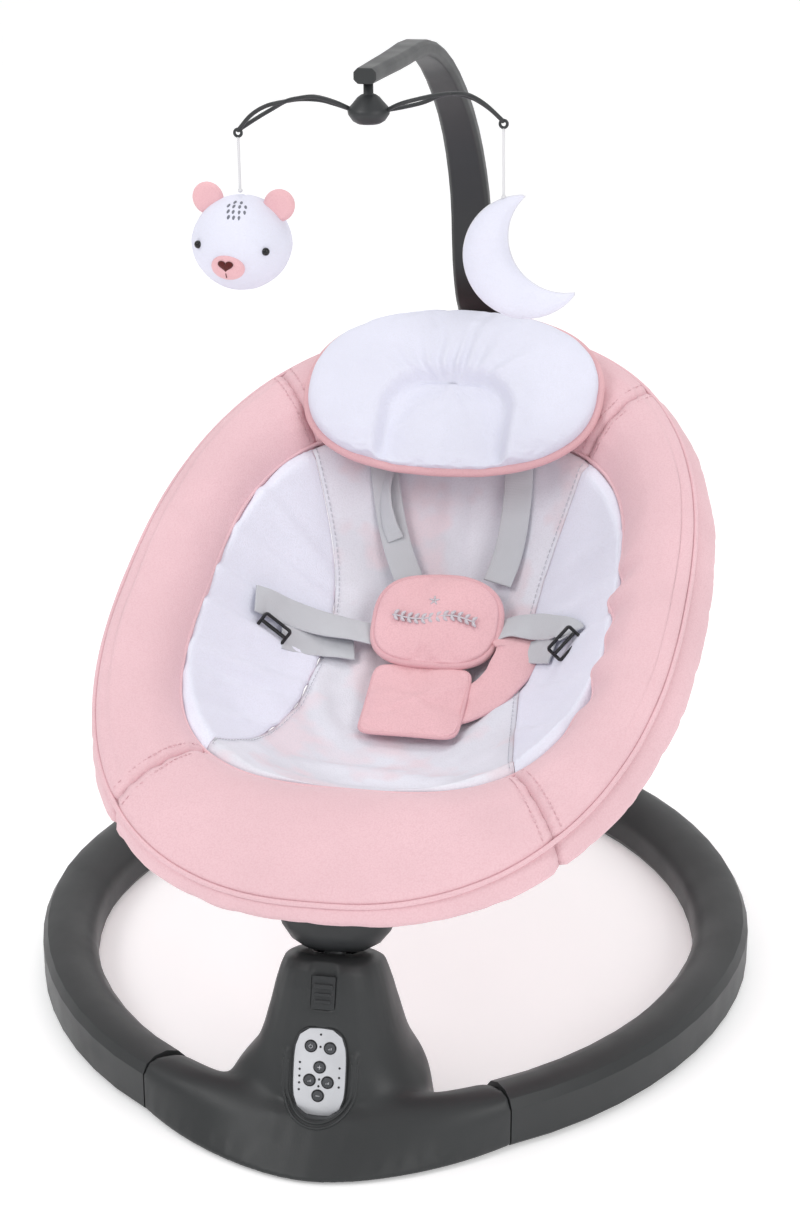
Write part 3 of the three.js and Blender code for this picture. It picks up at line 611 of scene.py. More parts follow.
up = Vector((0, 0, 1))
for index, corner in enumerate((SEAM_ANGLE, 180 - SEAM_ANGLE, 180 + SEAM_ANGLE, 360 - SEAM_ANGLE)):
    for side in (-1, 1):
        d = corner + side * 1.6
        rows = cover_rows(d)[2:12]
        line = [p + up * 1.1 for p in curve_points([cover_point(d, r) for r in rows], 40)]
        stitches(f"seam_stitch_{index + 1}_{'a' if side < 0 else 'b'}", line, lambda p: up, "seat",
                 thread_pink, "pink_fabric", radius=0.32)


# ------------------------------------------------------------------ sling: printed liner and side panels
def sling_height(x, s):
    u = abs(x / MOUTH[0]) ** 2.4
    w = abs((s - MOUTH_SHIFT) / MOUTH[1]) ** 2.4
    return -MOUTH_DEPTH - BOWL_DEPTH * max(0.0, 1 - (u + w) ** 1.05)


def mouth_width(s):
    w = abs((s - MOUTH_SHIFT) / (MOUTH[1] - 1.4)) ** MOUTH[2]
    return (MOUTH[0] - 1.4) * max(0.0, 1 - w) ** (1 / MOUTH[2])


def liner_width(s):
    far = 135 if s > 60 else 243
    return min(84 + (41 if s > 60 else 36) * ((s - 60) / far) ** 2, mouth_width(s))


def fold(x, s, x0, s0, angle, length, width, height):
    """One soft ridge on the cloth, centred at (x0, s0), running at angle degrees."""
    c, t = math.cos(math.radians(angle)), math.sin(math.radians(angle))
    a = (x - x0) * c + (s - s0) * t
    b = -(x - x0) * t + (s - s0) * c + 0.0018 * a * a
    return height * math.exp(-(a / length) ** 2) * (math.exp(-(b / width) ** 2)
                                                    - 0.55 * math.exp(-((b - 1.9 * width) / width) ** 2))


WING_FOLDS = [(-122, 40, 12, 62, 7, 4.2), (-118, 8, 20, 66, 7, 4.6), (-112, -30, 30, 60, 7, 4.0),
              (-120, -62, 40, 46, 6, 3.2), (-118, 80, -4, 50, 7, 3.0), (-104, -92, 48, 44, 6, 2.8),
              (128, 60, -22, 44, 7, 3.2), (128, 18, -30, 46, 7, 3.4), (122, -32, -42, 48, 7, 3.6),
              (112, -80, -50, 44, 6, 3.4), (130, 104, -12, 40, 6, 2.4), (-126, 118, -20, 44, 6, 2.2)]
LINER_FOLDS = [(-30, -110, 14, 60, 9, 2.6), (36, -120, -16, 60, 9, 2.6), (-46, 60, 76, 46, 7, 2.6),
               (50, 40, 100, 46, 7, 2.6), (0, 178, 84, 34, 7, 2.0), (20, 150, 96, 40, 6, 2.2),
               (-10, -150, 4, 60, 8, 2.2), (64, -30, 60, 46, 8, 2.6), (-66, -40, 118, 46, 8, 2.6)]


def cloth_height(x, s, folds):
    h = sling_height(x, s) + 1.35 * sum(fold(x, s, *f) for f in folds)
    tuck = 0.9 * max(0.0, abs(x) - mouth_width(s) + 1.0)
    return h + 1.5 * wobble(x, s, 0, 0.022, 11) + 0.7 * wobble(x, s, 0, 0.06, 21) - tuck


def sling_panel(name, low, high, s_from, s_to, rows, columns, folds, material, slot, node, thick=3.0):
    top, area = [], 0.0
    for i in range(rows + 1):
        s = lerp(s_from, s_to, i / rows)
        a, b = low(s), high(s)
        line = []
        for j in range(columns + 1):
            t = j / columns
            x = lerp(a, b, t)
            edge = min(t, 1 - t) * (b - a)
            puffed = 2.2 * (1 - math.exp(-edge / 7)) - 1.6
            line.append(Vector((x, s, cloth_height(x, s, folds) + puffed)))
        top.append(line)
    for i in range(rows):
        for j in range(columns):
            area += (top[i][j + 1] - top[i][j]).cross(top[i + 1][j] - top[i][j]).length
    sections = [line + [p - Vector((0, 0, thick)) for p in reversed(line)] for line in top]
    v, f = loft(sections)
    obj = make(name, v, f, SEAT, "seat", material, slot, [node])
    obj.data.materials.append(pink)
    around = 2 * (columns + 1)
    for poly in obj.data.polygons:
        if poly.index < rows * around and poly.index % around > columns:
            poly.material_index = 1
    return top


sling_panel("liner_cloth", lambda s: -liner_width(s), liner_width, -203, 217, 92, 48, LINER_FOLDS,
            liner_print, "print_fabric", "seat_liner")
wing_span = (-183, 198)
TUCKED = 6.0
sling_panel("side_cloth_right", lambda s: liner_width(s) + 0.4, lambda s: mouth_width(s) + TUCKED, *wing_span,
            84, 30, WING_FOLDS, lit_wing_white, "white_fabric", "side_panel_right")
sling_panel("side_cloth_left", lambda s: -mouth_width(s) - TUCKED, lambda s: -liner_width(s) - 0.4, *wing_span,
            84, 30, WING_FOLDS, lit_wing_white, "white_fabric", "side_panel_left")

for side, tag in ((-1, "left"), (1, "right")):
    line = [Vector((side * (liner_width(s) - 3.5), s, cloth_height(side * (liner_width(s) - 3.5), s, LINER_FOLDS)
                    + 0.8)) for s in np.arange(-172, 190, 3.0)]
    stitches(f"liner_stitch_{tag}", line, lambda p: up, "seat", thread_grey, "print_fabric", radius=0.35)


# ------------------------------------------------------------------ head pillow
PILLOW = SEAT @ Matrix.Translation((-2, 229, 12)) @ Matrix.Rotation(math.radians(17), 4, "X")
PILLOW_SHAPE = (123, 80, 2.35)
RECESS = (50, 44)                    # half width of the sunken middle, and how far up it reaches


def recess_distance(x, y):
    """Signed distance to the sunken U: positive outside. The U stands on the pillow's lower edge."""
    top = 6
    if y < top - 32:
        return abs(x) - RECESS[0]
    dx, dy = max(0.0, abs(x) - (RECESS[0] - 32)), y - (top - 32)
    return math.hypot(dx, max(dy, 0)) - 32


def pillow():
    rings, sides = 34, 168
    verts, faces, held = [], [], []
    for face_side in (1, -1):
        for i in range(rings):
            k = 1 - i / rings
            for j in range(sides):
                w = 2 * math.pi * j / sides
                r = super_radius(PILLOW_SHAPE, w) * math.sin(k * math.pi / 2) ** 0.9
                x, y = r * math.cos(w), r * math.sin(w)
                rise = (1 - (1 - (i / rings)) ** 2.6) ** 0.55 if i else 0.0
                z = face_side * 19 * rise
                if face_side > 0:
                    d = recess_distance(x, y)
                    z -= 11.5 * (1 - smooth(-2, 9, d)) * smooth(0, 0.25, i / rings) * smooth(-92, -60, y)
                    z -= 3.2 * math.exp(-(d / 2.6) ** 2) * smooth(0, 0.3, i / rings)
                    if d > 0:
                        ray = math.atan2(y + 30, x)
                        pull = math.exp(-max(0, d - 5) / 22) * smooth(0.45, 0.95, math.sin(ray) * 1.1)
                        fan = math.sin(ray * 27 + 5 * wobble(x, y, 0, 0.02, 6))
                        z += 3.0 * pull * fan * smooth(1, 9, d) * smooth(0.1, 0.4, i / rings)
                verts.append(Vector((x, y, z)))
                held.append(1.0 if i == 0 or (face_side > 0 and abs(recess_distance(x, y)) < 3.0) else 0.0)
        verts.append(Vector((0, 0, face_side * 19 - (9.5 if face_side > 0 else 0))))
        held.append(0.0)
    half = rings * sides + 1
    for n in (0, half):
        faces += [tuple(q + n for q in face) for face in grid_faces(rings, sides, False, True)]
        last = n + (rings - 1) * sides
        faces += [(last + j, last + (j + 1) % sides, n + half - 1) for j in range(sides)]
    # the two faces share the outer edge
    merged = [q if q < half or q - half >= sides else q - half for q in range(len(verts))]
    faces = [tuple(merged[q] for q in face) for face in faces]
    used = sorted({q for face in faces for q in face})
    renumber = {q: i for i, q in enumerate(used)}
    return ([verts[q] for q in used], [tuple(renumber[q] for q in face) for face in faces],
            [held[q] for q in used])


v, f, held = pillow()
pillow_obj = make("head_cushion", v, f, PILLOW, "seat", white, "white_fabric", ["head_pillow"])
pillow_obj.data.materials.append(pink)
puff(pillow_obj, 2.2, 16, 5, held, grow=0.015)
lower = PILLOW.inverted() @ Matrix.Scale(1000, 4)
for poly in pillow_obj.data.polygons:
    if (lower @ poly.center).z < -1.5:
        poly.material_index = 1
subdivide(pillow_obj)

edge = [oval(PILLOW_SHAPE, d) * 1.012 + Vector((0, 0, 0.8 * wobble(d * 0.08, 0, 0, 1, 4)))
        for d in np.arange(0, 360, 2.0)]
v, f = tube(edge, (3.6, 4.2), 12, True, across=(0, 0, 1))
make("head_cushion_piping", v, f, PILLOW, "seat", pink_edge, "pink_fabric")


# ------------------------------------------------------------------ harness
ABOVE = 9.0


def on_sling(x, s, lift=ABOVE):
    return Vector((x, s, sling_height(x, s) + lift))


def ribbon(name, points, sides, width, body="seat", replaces=(), material=webbing, slot="webbing", thick=1.5,
           count=60, ripple=0.5):
    """A strap: its middle line, and the direction across it at each point."""
    line = curve_points(points, count)
    across = curve_points(sides, count)
    sections = []
    for i, p in enumerate(line):
        along = (line[min(i + 1, count - 1)] - line[max(i - 1, 0)]).normalized()
        side = across[i].normalized()
        n = along.cross(side).normalized()
        side = n.cross(along).normalized()
        row = []
        half, t = width / 2, thick / 2
        for a, b in ((-half, -t * 0.5), (-half + 0.7, -t), (-half / 2, -t), (0, -t), (half / 2, -t),
                     (half - 0.7, -t), (half, -t * 0.5), (half, t * 0.5), (half - 0.7, t), (half / 2, t),
                     (0, t), (-half / 2, t), (-half + 0.7, t), (-half, t * 0.5)):
            sway = ripple * wobble(i * 0.12, a * 0.05, 0, 1.0, width)
            row.append(p + side * a + n * (b + sway))
        sections.append(row)
    v, f = loft(sections)
    obj = make(name, v, f, SEAT, body, material, slot, replaces)
    return obj


X, Y, Z = Vector((1, 0, 0)), Vector((0, 1, 0)), Vector((0, 0, 1))
ribbon("shoulder_webbing_left",
       [on_sling(-60, 196, 9), on_sling(-55, 176, 10), on_sling(-47, 152, 10), on_sling(-37, 130, 11),
        on_sling(-26, 110, 13)],
       [X, X, X * 1 + Y * 0.15, X + Y * 0.3, X + Y * 0.35], 24, replaces=["shoulder_strap_left"])
ribbon("shoulder_webbing_right",
       [on_sling(58, 198, 9), on_sling(59, 176, 10), on_sling(58, 150, 11), on_sling(55, 128, 12),
        on_sling(50, 108, 14)],
       [X, X, X, X + Y * 0.1, X + Y * 0.15], 24, replaces=["shoulder_strap_right"])
ribbon("shoulder_tail_left",
       [on_sling(-52, 190, 13), on_sling(-54, 168, 16), on_sling(-49, 150, 16), on_sling(-42, 140, 13)],
       [X + Z * 0.7, X * 0.8 + Z, X + Z * 0.6, X + Y * 0.2], 14)
ribbon("waist_webbing_left",
       [on_sling(-46, 52, 15), on_sling(-66, 50, 15), on_sling(-88, 45, 13), on_sling(-108, 39, 12),
        on_sling(-124, 33, 12), on_sling(-134, 28, 11)],
       [Y, Y, Y + Z * 0.2, Y + Z * 0.35, Y + Z * 0.5, Y + Z * 0.4 - X * 0.15], 24,
       replaces=["waist_strap_left"], count=80)
ribbon("waist_under_left",
       [on_sling(-60, 38, 6), on_sling(-80, 32, 5), on_sling(-98, 22, 6), on_sling(-112, 14, 7)],
       [Y, Y, Y + Z * 0.2, Y + Z * 0.3], 22)
ribbon("waist_webbing_right",
       [on_sling(54, 60, 15), on_sling(72, 62, 15), on_sling(92, 55, 12), on_sling(108, 44, 11),
        on_sling(121, 31, 12), on_sling(128, 20, 10)],
       [Y, Y, Y + Z * 0.3, Y + X * 0.3 + Z * 0.3, Y + X * 0.45, Y + X * 0.5], 24,
       replaces=["waist_strap_right"], count=80)
ribbon("waist_under_right",
       [on_sling(66, 42, 7), on_sling(84, 38, 6), on_sling(100, 28, 7), on_sling(112, 18, 8)],
       [Y, Y, Y + Z * 0.3, Y + Z * 0.3], 22)


def adjuster(name, place, turn, replaces):
    """A black tri-glide: a rounded frame with a middle bar."""
    outer = [(-15, -9), (15, -9), (16.5, -7.5), (16.5, 7.5), (15, 9), (-15, 9), (-16.5, 7.5), (-16.5, -7.5)]
    loop = [Vector((x, y, 0.9 * math.cos(x / 9))) for x, y in outer]
    loop = [loop[i].lerp(loop[(i + 1) % 8], t) for i in range(8) for t in (0, 0.33, 0.66)]
    bar = [Vector((x, 0, 1.2)) for x in np.linspace(-15.5, 15.5, 12)]
    v, f = join(tube(loop, (1.9, 1.9), 10, True), tube(bar, (1.5, 2.4), 10))
    space = SEAT @ Matrix.Translation(place) @ turn @ Matrix.Scale(0.76, 4)
    make(name, v, f, space, "seat", black, "black_plastic", replaces)


def tilt(about_y, about_x, about_z):
    return (Matrix.Rotation(math.radians(about_z), 4, "Z") @ Matrix.Rotation(math.radians(about_y), 4, "Y")
            @ Matrix.Rotation(math.radians(about_x), 4, "X"))


adjuster("adjuster_left", on_sling(-118, 14, 9), tilt(34, 48, -16), ["strap_adjuster_left"])
adjuster("adjuster_right", on_sling(123, 13, 11), tilt(-40, 40, 34), ["strap_adjuster_right"])


# ------------------------------------------------------------------ buckle pad, buckle and crotch pad
def cushion(shape, thick, rings=16, sides=72, crown=0.6, sway=0.0, seed=0):
    """A closed pad: two domes that share their outer edge."""
    verts = []
    for face_side in (1, -1):
        for i in range(rings):
            k = 1 - i / rings
            for j in range(sides):
                w = 2 * math.pi * j / sides
                r = super_radius(shape, w) * math.sin(k * math.pi / 2) ** 0.85
                x, y = r * math.cos(w), r * math.sin(w)
                rise = (1 - k ** 2.6) ** crown if i else 0.0
                z = face_side * thick / 2 * rise + sway * wobble(x, y, 0, 0.03, seed)
                verts.append(Vector((x, y, z)))
        verts.append(Vector((0, 0, face_side * thick / 2 + sway * wobble(0, 0, 0, 0.03, seed))))
    half = rings * sides + 1
    faces = []
    for n in (0, half):
        faces += [tuple(q + n for q in face) for face in grid_faces(rings, sides, False, True)]
        last = n + (rings - 1) * sides
        faces += [(last + j, last + (j + 1) % sides, n + half - 1) for j in range(sides)]
    merged = [q if q < half or q - half >= sides else q - half for q in range(len(verts))]
    faces = [tuple(merged[q] for q in face) for face in faces]
    used = sorted({q for face in faces for q in face})
    renumber = {q: i for i, q in enumerate(used)}
    return [verts[q] for q in used], [tuple(renumber[q] for q in face) for face in faces]


BUCKLE = SEAT @ Matrix.Translation((7, 60, -97)) @ Matrix.Rotation(math.radians(20), 4, "X")
PAD_SHAPE = (52, 40, 2.9)
v, f = cushion(PAD_SHAPE, 13, sway=1.6, seed=4)
bend = [Vector((p.x, p.y, p.z - 5.5 * (p.x / 52) ** 2 + 2)) for p in v]
pad = make("buckle_cushion", bend, f, BUCKLE, "seat", pink_rose, "pink_fabric", ["buckle_pad"])
held = [1.0 if abs(p.x / 52) ** 2.9 + abs(p.y / 40) ** 2.9 > 0.93 else 0.0 for p in v]
puff(pad, 3.0, 14, 4, held, grow=0.02)
subdivide(pad)


def pad_surface(x, y):
    rise = max(0.0, 1 - (abs(x / 52) ** 2.9 + abs(y / 40) ** 2.9)) ** 0.35
    return 6.5 * rise + 1.6 * wobble(x, y, 0, 0.03, 4) - 5.5 * (x / 52) ** 2 + 2


binding = []
for d in np.arange(0, 360, 3.0):
    p = oval(PAD_SHAPE, float(d))
    binding.append(Vector((p.x, p.y, pad_surface(p.x, p.y) - 0.5)))
v, f = tube(binding, (3.4, 3.6), 12, True, across=(0, 0, 1))
make("buckle_cushion_binding", v, f, BUCKLE, "seat", pink_edge, "pink_fabric")

# A generic embroidered motif: a row of little leaves on a stem, with a small star above it.
motif = []
stem = [Vector((x, -1 + 2.2 * math.sin(x / 9), 0)) for x in np.linspace(-36, 34, 40)]
motif.append(tube([Vector((p.x, p.y, pad_surface(p.x, p.y) + 2.6)) for p in stem], 0.8, 6))
for i in range(12):
    x = -34 + i * 6
    y = -1 + 2.2 * math.sin(x / 9)
    for s in (-1, 1):
        leaf = [Vector((x, y, 0)), Vector((x + 1.2, y + s * 2.6, 0)), Vector((x + 3.4, y + s * 4.6, 0))]
        leaf = [Vector((p.x, p.y, pad_surface(p.x, p.y) + 2.8)) for p in curve_points(leaf, 7)]
        motif.append(tube(leaf, lambda t: 0.5 + 1.1 * math.sin(math.pi * t), 6))
for k in range(5):
    w = math.radians(90 + 72 * k)
    arm = [Vector((-2 + r * math.cos(w), 14 + r * math.sin(w), 0)) for r in (0.6, 2.6, 4.4)]
    motif.append(tube([Vector((p.x, p.y, pad_surface(p.x, p.y) + 2.7)) for p in arm],
                      lambda t: 1.1 - 0.6 * t, 6))
v, f = join(*motif)
make("buckle_motif", v, f, BUCKLE, "seat", thread_silver, "pink_fabric")

crotch_shape = (40, 39, 9)
v, f = cushion(crotch_shape, 7, sway=2.4, seed=8, sides=96)


def crotch_place(p):
    s = -18 + p.y
    return Vector((p.x + 3, s, sling_height(p.x, s) + 12 + p.z + 5 * smooth(-30, 38, p.y)
                   - 3.5 * (p.x / 39) ** 2))


held = [1.0 if abs(p.x / 40) ** 9 + abs(p.y / 39) ** 9 > 0.88 else 0.0 for p in v]
crotch = make("crotch_cushion", [crotch_place(p) for p in v], f, SEAT, "seat", pink_rose, "pink_fabric",
              ["crotch_pad"])
puff(crotch, 3.0, 14, 4, held, grow=0.02)
subdivide(crotch)
hem = []
for d in np.arange(0, 360, 3.0):
    hem.append(crotch_place(oval(crotch_shape, float(d))))
v, f = tube(hem, (1.6, 1.8), 8, True, across=(0, 0, 1))
make("crotch_cushion_hem", v, f, SEAT, "seat", pink_edge, "pink_fabric")
ribbon("crotch_fold",
       [on_sling(28, -20, 7), on_sling(48, -12, 8), on_sling(66, 2, 9), on_sling(76, 20, 10),
        on_sling(80, 40, 11), on_sling(72, 56, 10)],
       [Y, Y - X * 0.3, Y - X * 0.8, Y * 0.5 - X, Y * 0.1 - X, -Y * 0.3 - X], 38, material=pink_rose,
       slot="pink_fabric", thick=3.0, ripple=1.8)


# ------------------------------------------------------------------ bear
BEAR_AT = Vector((-96, -93, 612))
BEAR = UPRIGHT @ Matrix.Translation(BEAR_AT) @ Matrix.Rotation(math.radians(4), 4, "Y")


def head_radius(direction):
    cheek = 1 + 0.05 * (1 - abs(direction.z)) - 0.03 * max(0.0, direction.z)
    return 34.8 * cheek


def on_head(azimuth, elevation, out=0.0):
    """A point on the head: azimuth 0 faces the tower, positive to its right."""
    a, e = math.radians(azimuth), math.radians(elevation)
    d = Vector((math.sin(a) * math.cos(e), -math.cos(a) * math.cos(e), math.sin(e)))
    return d * (head_radius(d) + out), d


v, f = ball(1, 1, 1, 40, 72)
verts = []
for p in v:
    d = p.normalized()
    seam = 0.9 * math.exp(-(math.degrees(math.asin(max(-1, min(1, d.x)))) / 2.2) ** 2) * (d.y > -0.2)
    verts.append(d * (head_radius(d) - seam + 0.5 * wobble(d.x, d.y, d.z, 2.2, 5)))
head = make("bear_plush", verts, f, BEAR, "bear", white, "white_fabric", ["bear_head"])

for side, tag in ((-1, "left"), (1, "right")):
    outer_ear = ball(11.5, 6, 12, 18, 32)
    ear = [Vector((p.x, p.y + (2.6 * max(0, 1 - (p.x ** 2 + p.z ** 2) / 90) if p.y < 0 else 0), p.z))
           for p in outer_ear[0]]
    place = BEAR @ Matrix.Translation((side * 26.5, 0.5, 29)) @ Matrix.Rotation(math.radians(side * 35), 4, "Y")
    obj = make(f"bear_ear_{tag}", ear, outer_ear[1], place, "bear", muzzle_pink, "pink_fabric")
    point, d = on_head(side * 43, 2, 0.6)
    rot = d.to_track_quat("Z", "Y").to_matrix().to_4x4()
    v, f = turned([(0, -1.5), (2.7, -1.5), (2.9, 0), (2.5, 1.2), (1.5, 2.0), (0, 2.3)], 28)
    make(f"bear_eye_{tag}", v, f, BEAR @ Matrix.Translation(point) @ rot, "bear", eye_black, "black_plastic")

point, d = on_head(-1, -19, -1.2)
face = Matrix.Translation(point) @ (-d).to_track_quat("-Z", "Z").to_matrix().to_4x4()
v, f = ball(12.4, 9.8, 6.2, 20, 40)
muzzle = make("bear_muzzle", v, f, BEAR @ face, "bear", muzzle_pink, "pink_fabric")
heart = []
for k in range(40):
    t = 2 * math.pi * k / 40
    lobes = 13 * math.cos(t) - 5 * math.cos(2 * t) - 2 * math.cos(3 * t) - math.cos(4 * t)
    heart.append((0.36 * 16 * math.sin(t) ** 3, 0.32 * lobes))
levels = [(0, 1.0), (1.0, 0.97), (1.8, 0.8), (2.2, 0.45), (2.3, 0.05)]
rows = [[Vector((x * k, y * k + 4.2, 4.6 + z)) for x, y in heart] for z, k in levels]
v, f = loft(rows)
make("bear_nose", v, f, BEAR @ face, "bear", nose_red, "black_plastic")
line = [Vector((0, 4.2 - 5.6 - t, 6.0 - 0.16 * t)) for t in np.linspace(0, 4, 6)]
v, f = tube(line, 0.45, 6)
make("bear_mouth_stitch", v, f, BEAR @ face, "bear", nose_red, "black_plastic")

drops = []
for row, (elevation, places) in enumerate(((66, (-5, 5)), (58, (-13, -4, 5, 14)), (49, (-10, -2, 7, 15)),
                                           (41, (-7, 1, 9)))):
    for a in places:
        point, d = on_head(a * 1.15 / math.cos(math.radians(elevation)) * 0.7, elevation, 0.05)
        rot = d.to_track_quat("Z", "Y").to_matrix().to_4x4()
        drop = [Vector((0, t, 0.12)) for t in np.linspace(-1.5, 1.9, 7)]
        part = tube(drop, lambda t: (0.25 + 0.85 * math.sin(math.pi * (0.12 + 0.8 * (1 - t))), 0.22), 8,
                    across=(1, 0, 0))
        drops.append(moved(part, Matrix.Translation(point) @ rot))
v, f = join(*drops)
make("bear_forehead_print", v, f, BEAR, "bear", print_grey, "print_fabric")

# ------------------------------------------------------------------ moon
MOON = (111, 608)
MOON_RADIUS = 44.0
BITE = (138.4, 622.5, 39.6)


def crescent():
    """Sections from tip to tip between the outer circle and the bite."""
    bx, bz = BITE[0] - MOON[0], BITE[1] - MOON[1]
    gap = math.hypot(bx, bz)
    reach = (MOON_RADIUS ** 2 - BITE[2] ** 2 + gap ** 2) / (2 * gap)
    middle = math.atan2(bz, bx)
    half = math.acos(reach / MOON_RADIUS)
    inner_half = math.acos((reach - gap) / BITE[2])
    sections, steps, sides = [], 84, 28
    for i in range(1, steps):
        t = i / steps
        a = middle + half + t * (2 * math.pi - 2 * half)
        b = middle + inner_half + t * (2 * math.pi - 2 * inner_half)
        outer = Vector((MOON_RADIUS * math.cos(a), 0, MOON_RADIUS * math.sin(a)))
        inner = Vector((bx + BITE[2] * math.cos(b), 0, bz + BITE[2] * math.sin(b)))
        centre, width = (outer + inner) / 2, (outer - inner).length / 2
        across = (outer - inner).normalized()
        thick = min(12.5, 1.2 + width * 0.78)
        ripple = 1 + 0.018 * math.sin(i * 1.3) * min(1, width / 10)
        sections.append([centre + across * (width * math.copysign(abs(math.cos(w)) ** 0.86, math.cos(w)))
                         + Vector((0, thick * ripple * math.copysign(abs(math.sin(w)) ** 0.8, math.sin(w)), 0))
                         for w in (2 * math.pi * k / sides for k in range(sides))])
    return sections


sections = crescent()
v, f = loft(sections)
MOON_SPACE = UPRIGHT @ Matrix.Translation((MOON[0], -93, MOON[1]))
moon = make("moon_plush", v, f, MOON_SPACE, "moon", white, "white_fabric", ["crescent_moon"])
seam = [s[0] for s in sections] + [s[14] for s in reversed(sections)]
v, f = tube(seam, 0.7, 6, True, across=(0, 1, 0))
make("moon_seam", v, f, MOON_SPACE, "moon", thread_white, "white_fabric")

# ------------------------------------------------------------------ strings
ARM_REACH = 96
STRING = 1.0


def string(name, x, low, high, body, node):
    local = [Vector((x, -93, z)) for z in np.linspace(high, low, 16)]
    twist = tube(local, STRING, 12)
    knot = ball(1.9, 1.9, 1.6, 8, 12)
    obj = make(name, *twist, UPRIGHT, body, string_white, "webbing", [node])
    k = make(f"{name}_knot", *knot, UPRIGHT @ Matrix.Translation((x, -93, low + 0.6)), body, string_white, "webbing")


string("bear_cord", -ARM_REACH, 648.5, 687.4, "bear", "bear_string")
string("moon_cord", ARM_REACH, 649.7, 698.4, "moon", "moon_string")

# ------------------------------------------------------------------ mobile arms
MOBILE = Vector((0, -93, 712))


def mobile_arm(side, end_z, heights, name, node):
    """Two thin ribs that bow apart, cross past the middle and meet again at the tip."""
    parts = []
    for bow, lift in ((8, 2.6), (-8, -2.6)):
        shape = [(13, 0, 0), (24, -0.7, 0.8), (37, -1, 1), (50, -0.5, 0.4), (60, 0, 0), (72, 0.9, -0.9),
                 (84, 0.8, -0.9), (ARM_REACH, 0, 0)]
        line = [(x, bow * b, h + lift * k) for (x, b, k), h in zip(shape, heights)]
        path = curve_points([Vector((side * x, y, z)) for x, y, z in line], 64)
        parts.append(tube(path, lambda t: (1.9 + 0.5 * (1 - t), 1.5), 12, across=(0, 1, 0)))
    ring = [Vector((side * ARM_REACH + 2.6 * math.cos(w), 0, end_z - MOBILE.z - 1.6 + 2.6 * math.sin(w)))
            for w in np.linspace(0, 2 * math.pi, 24, endpoint=False)]
    parts.append(tube(ring, 1.1, 8, True))
    v, f = join(*parts)
    make(name, v, f, UPRIGHT @ Matrix.Translation(MOBILE), "mobile", dark, "dark_plastic", [node])


mobile_arm(-1, 692, (-3, 1, 4, 3.5, 1.5, -3, -10, -20), "mobile_wire_left", "mobile_arm_left")
mobile_arm(1, 703, (-3, 0.5, 4, 8, 9.5, 8, 1.5, -9), "mobile_wire_right", "mobile_arm_right")
cap = [(0, -12.5), (8.5, -12.3), (11.5, -10.5), (14.6, -6), (15.0, -3.5), (13.8, -1.2), (10.5, 2.6), (8, 5.6),
       (5.5, 7.4), (3.5, 8.2), (3.5, 19.5), (0, 19.5)]
v, f = turned(cap, 48)
make("mobile_cone", v, f, UPRIGHT @ Matrix.Translation(MOBILE), "mobile", dark, "dark_plastic", ["mobile_hub"])


# ------------------------------------------------------------------ front housing with blended corners
def blended_housing():
    """The housing's own shape with its inner corners eased, apart from round the panel and the seams."""
    source = nodes["front_housing"]
    mesh = source.data.copy()
    obj = bpy.data.objects.new("housing_shell", mesh)
    bpy.context.scene.collection.objects.link(obj)
    weld = obj.modifiers.new("weld", "WELD")
    weld.merge_threshold = 0.00001
    mod = obj.modifiers.new("remesh", "REMESH")
    mod.mode = "VOXEL"
    mod.voxel_size = 0.0016
    shown = obj.evaluated_get(bpy.context.evaluated_depsgraph_get())
    fine = bpy.data.meshes.new_from_object(shown)
    obj.modifiers.clear()
    obj.data = fine
    co = points_of(obj)
    edges = np.empty(len(fine.edges) * 2, np.int64)
    fine.edges.foreach_get("vertices", edges)
    edges = edges.reshape(-1, 2)
    p = co * 1000 - np.array([0, 12.2, 0])
    panel = (PANEL.inverted() @ METRES.inverted())
    m = np.array(panel)
    q = co @ m[:3, :3].T + m[:3, 3]
    near_panel = np.clip((np.hypot(np.maximum(np.abs(q[:, 0]) - 22, 0), np.maximum(np.abs(q[:, 1] + 2) - 36, 0))
                          - 8) / 12, 0, 1)
    near_panel = np.where(np.abs(q[:, 2]) > 25, 1, near_panel)
    near_end = np.clip((132 - np.abs(p[:, 0])) / 14, 0, 1)
    near_floor = np.clip((p[:, 2] - 6) / 8, 0, 1)
    near_top = np.clip((116 - p[:, 2]) / 8, 0, 1)
    inside = np.clip((np.hypot(p[:, 0], p[:, 1] + 248) - 18) / 8, 0, 1)
    heavy = near_panel * near_end * near_floor * near_top * inside
    band = np.clip(1 - np.abs(p[:, 2] - 46) / 34, 0, 1) ** 0.5
    degree = np.bincount(edges.ravel(), minlength=len(co)).astype(float)
    for step in range(90):
        total = np.zeros_like(co)
        for a in range(3):
            total[:, a] = (np.bincount(edges[:, 0], co[edges[:, 1], a], len(co))
                           + np.bincount(edges[:, 1], co[edges[:, 0], a], len(co)))
        mean = total / degree[:, None]
        weight = (0.5 if step < 4 else 0.5 * heavy * band)
        weight = np.broadcast_to(weight, (len(co),))
        co += (mean - co) * weight[:, None]
    set_mesh(obj, co)
    obj.data.materials.clear()
    obj.data.materials.append(plastic)
    obj.data.shade_smooth()
    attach(obj, "base")
    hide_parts("front_housing")
    return obj


housing = blended_housing()

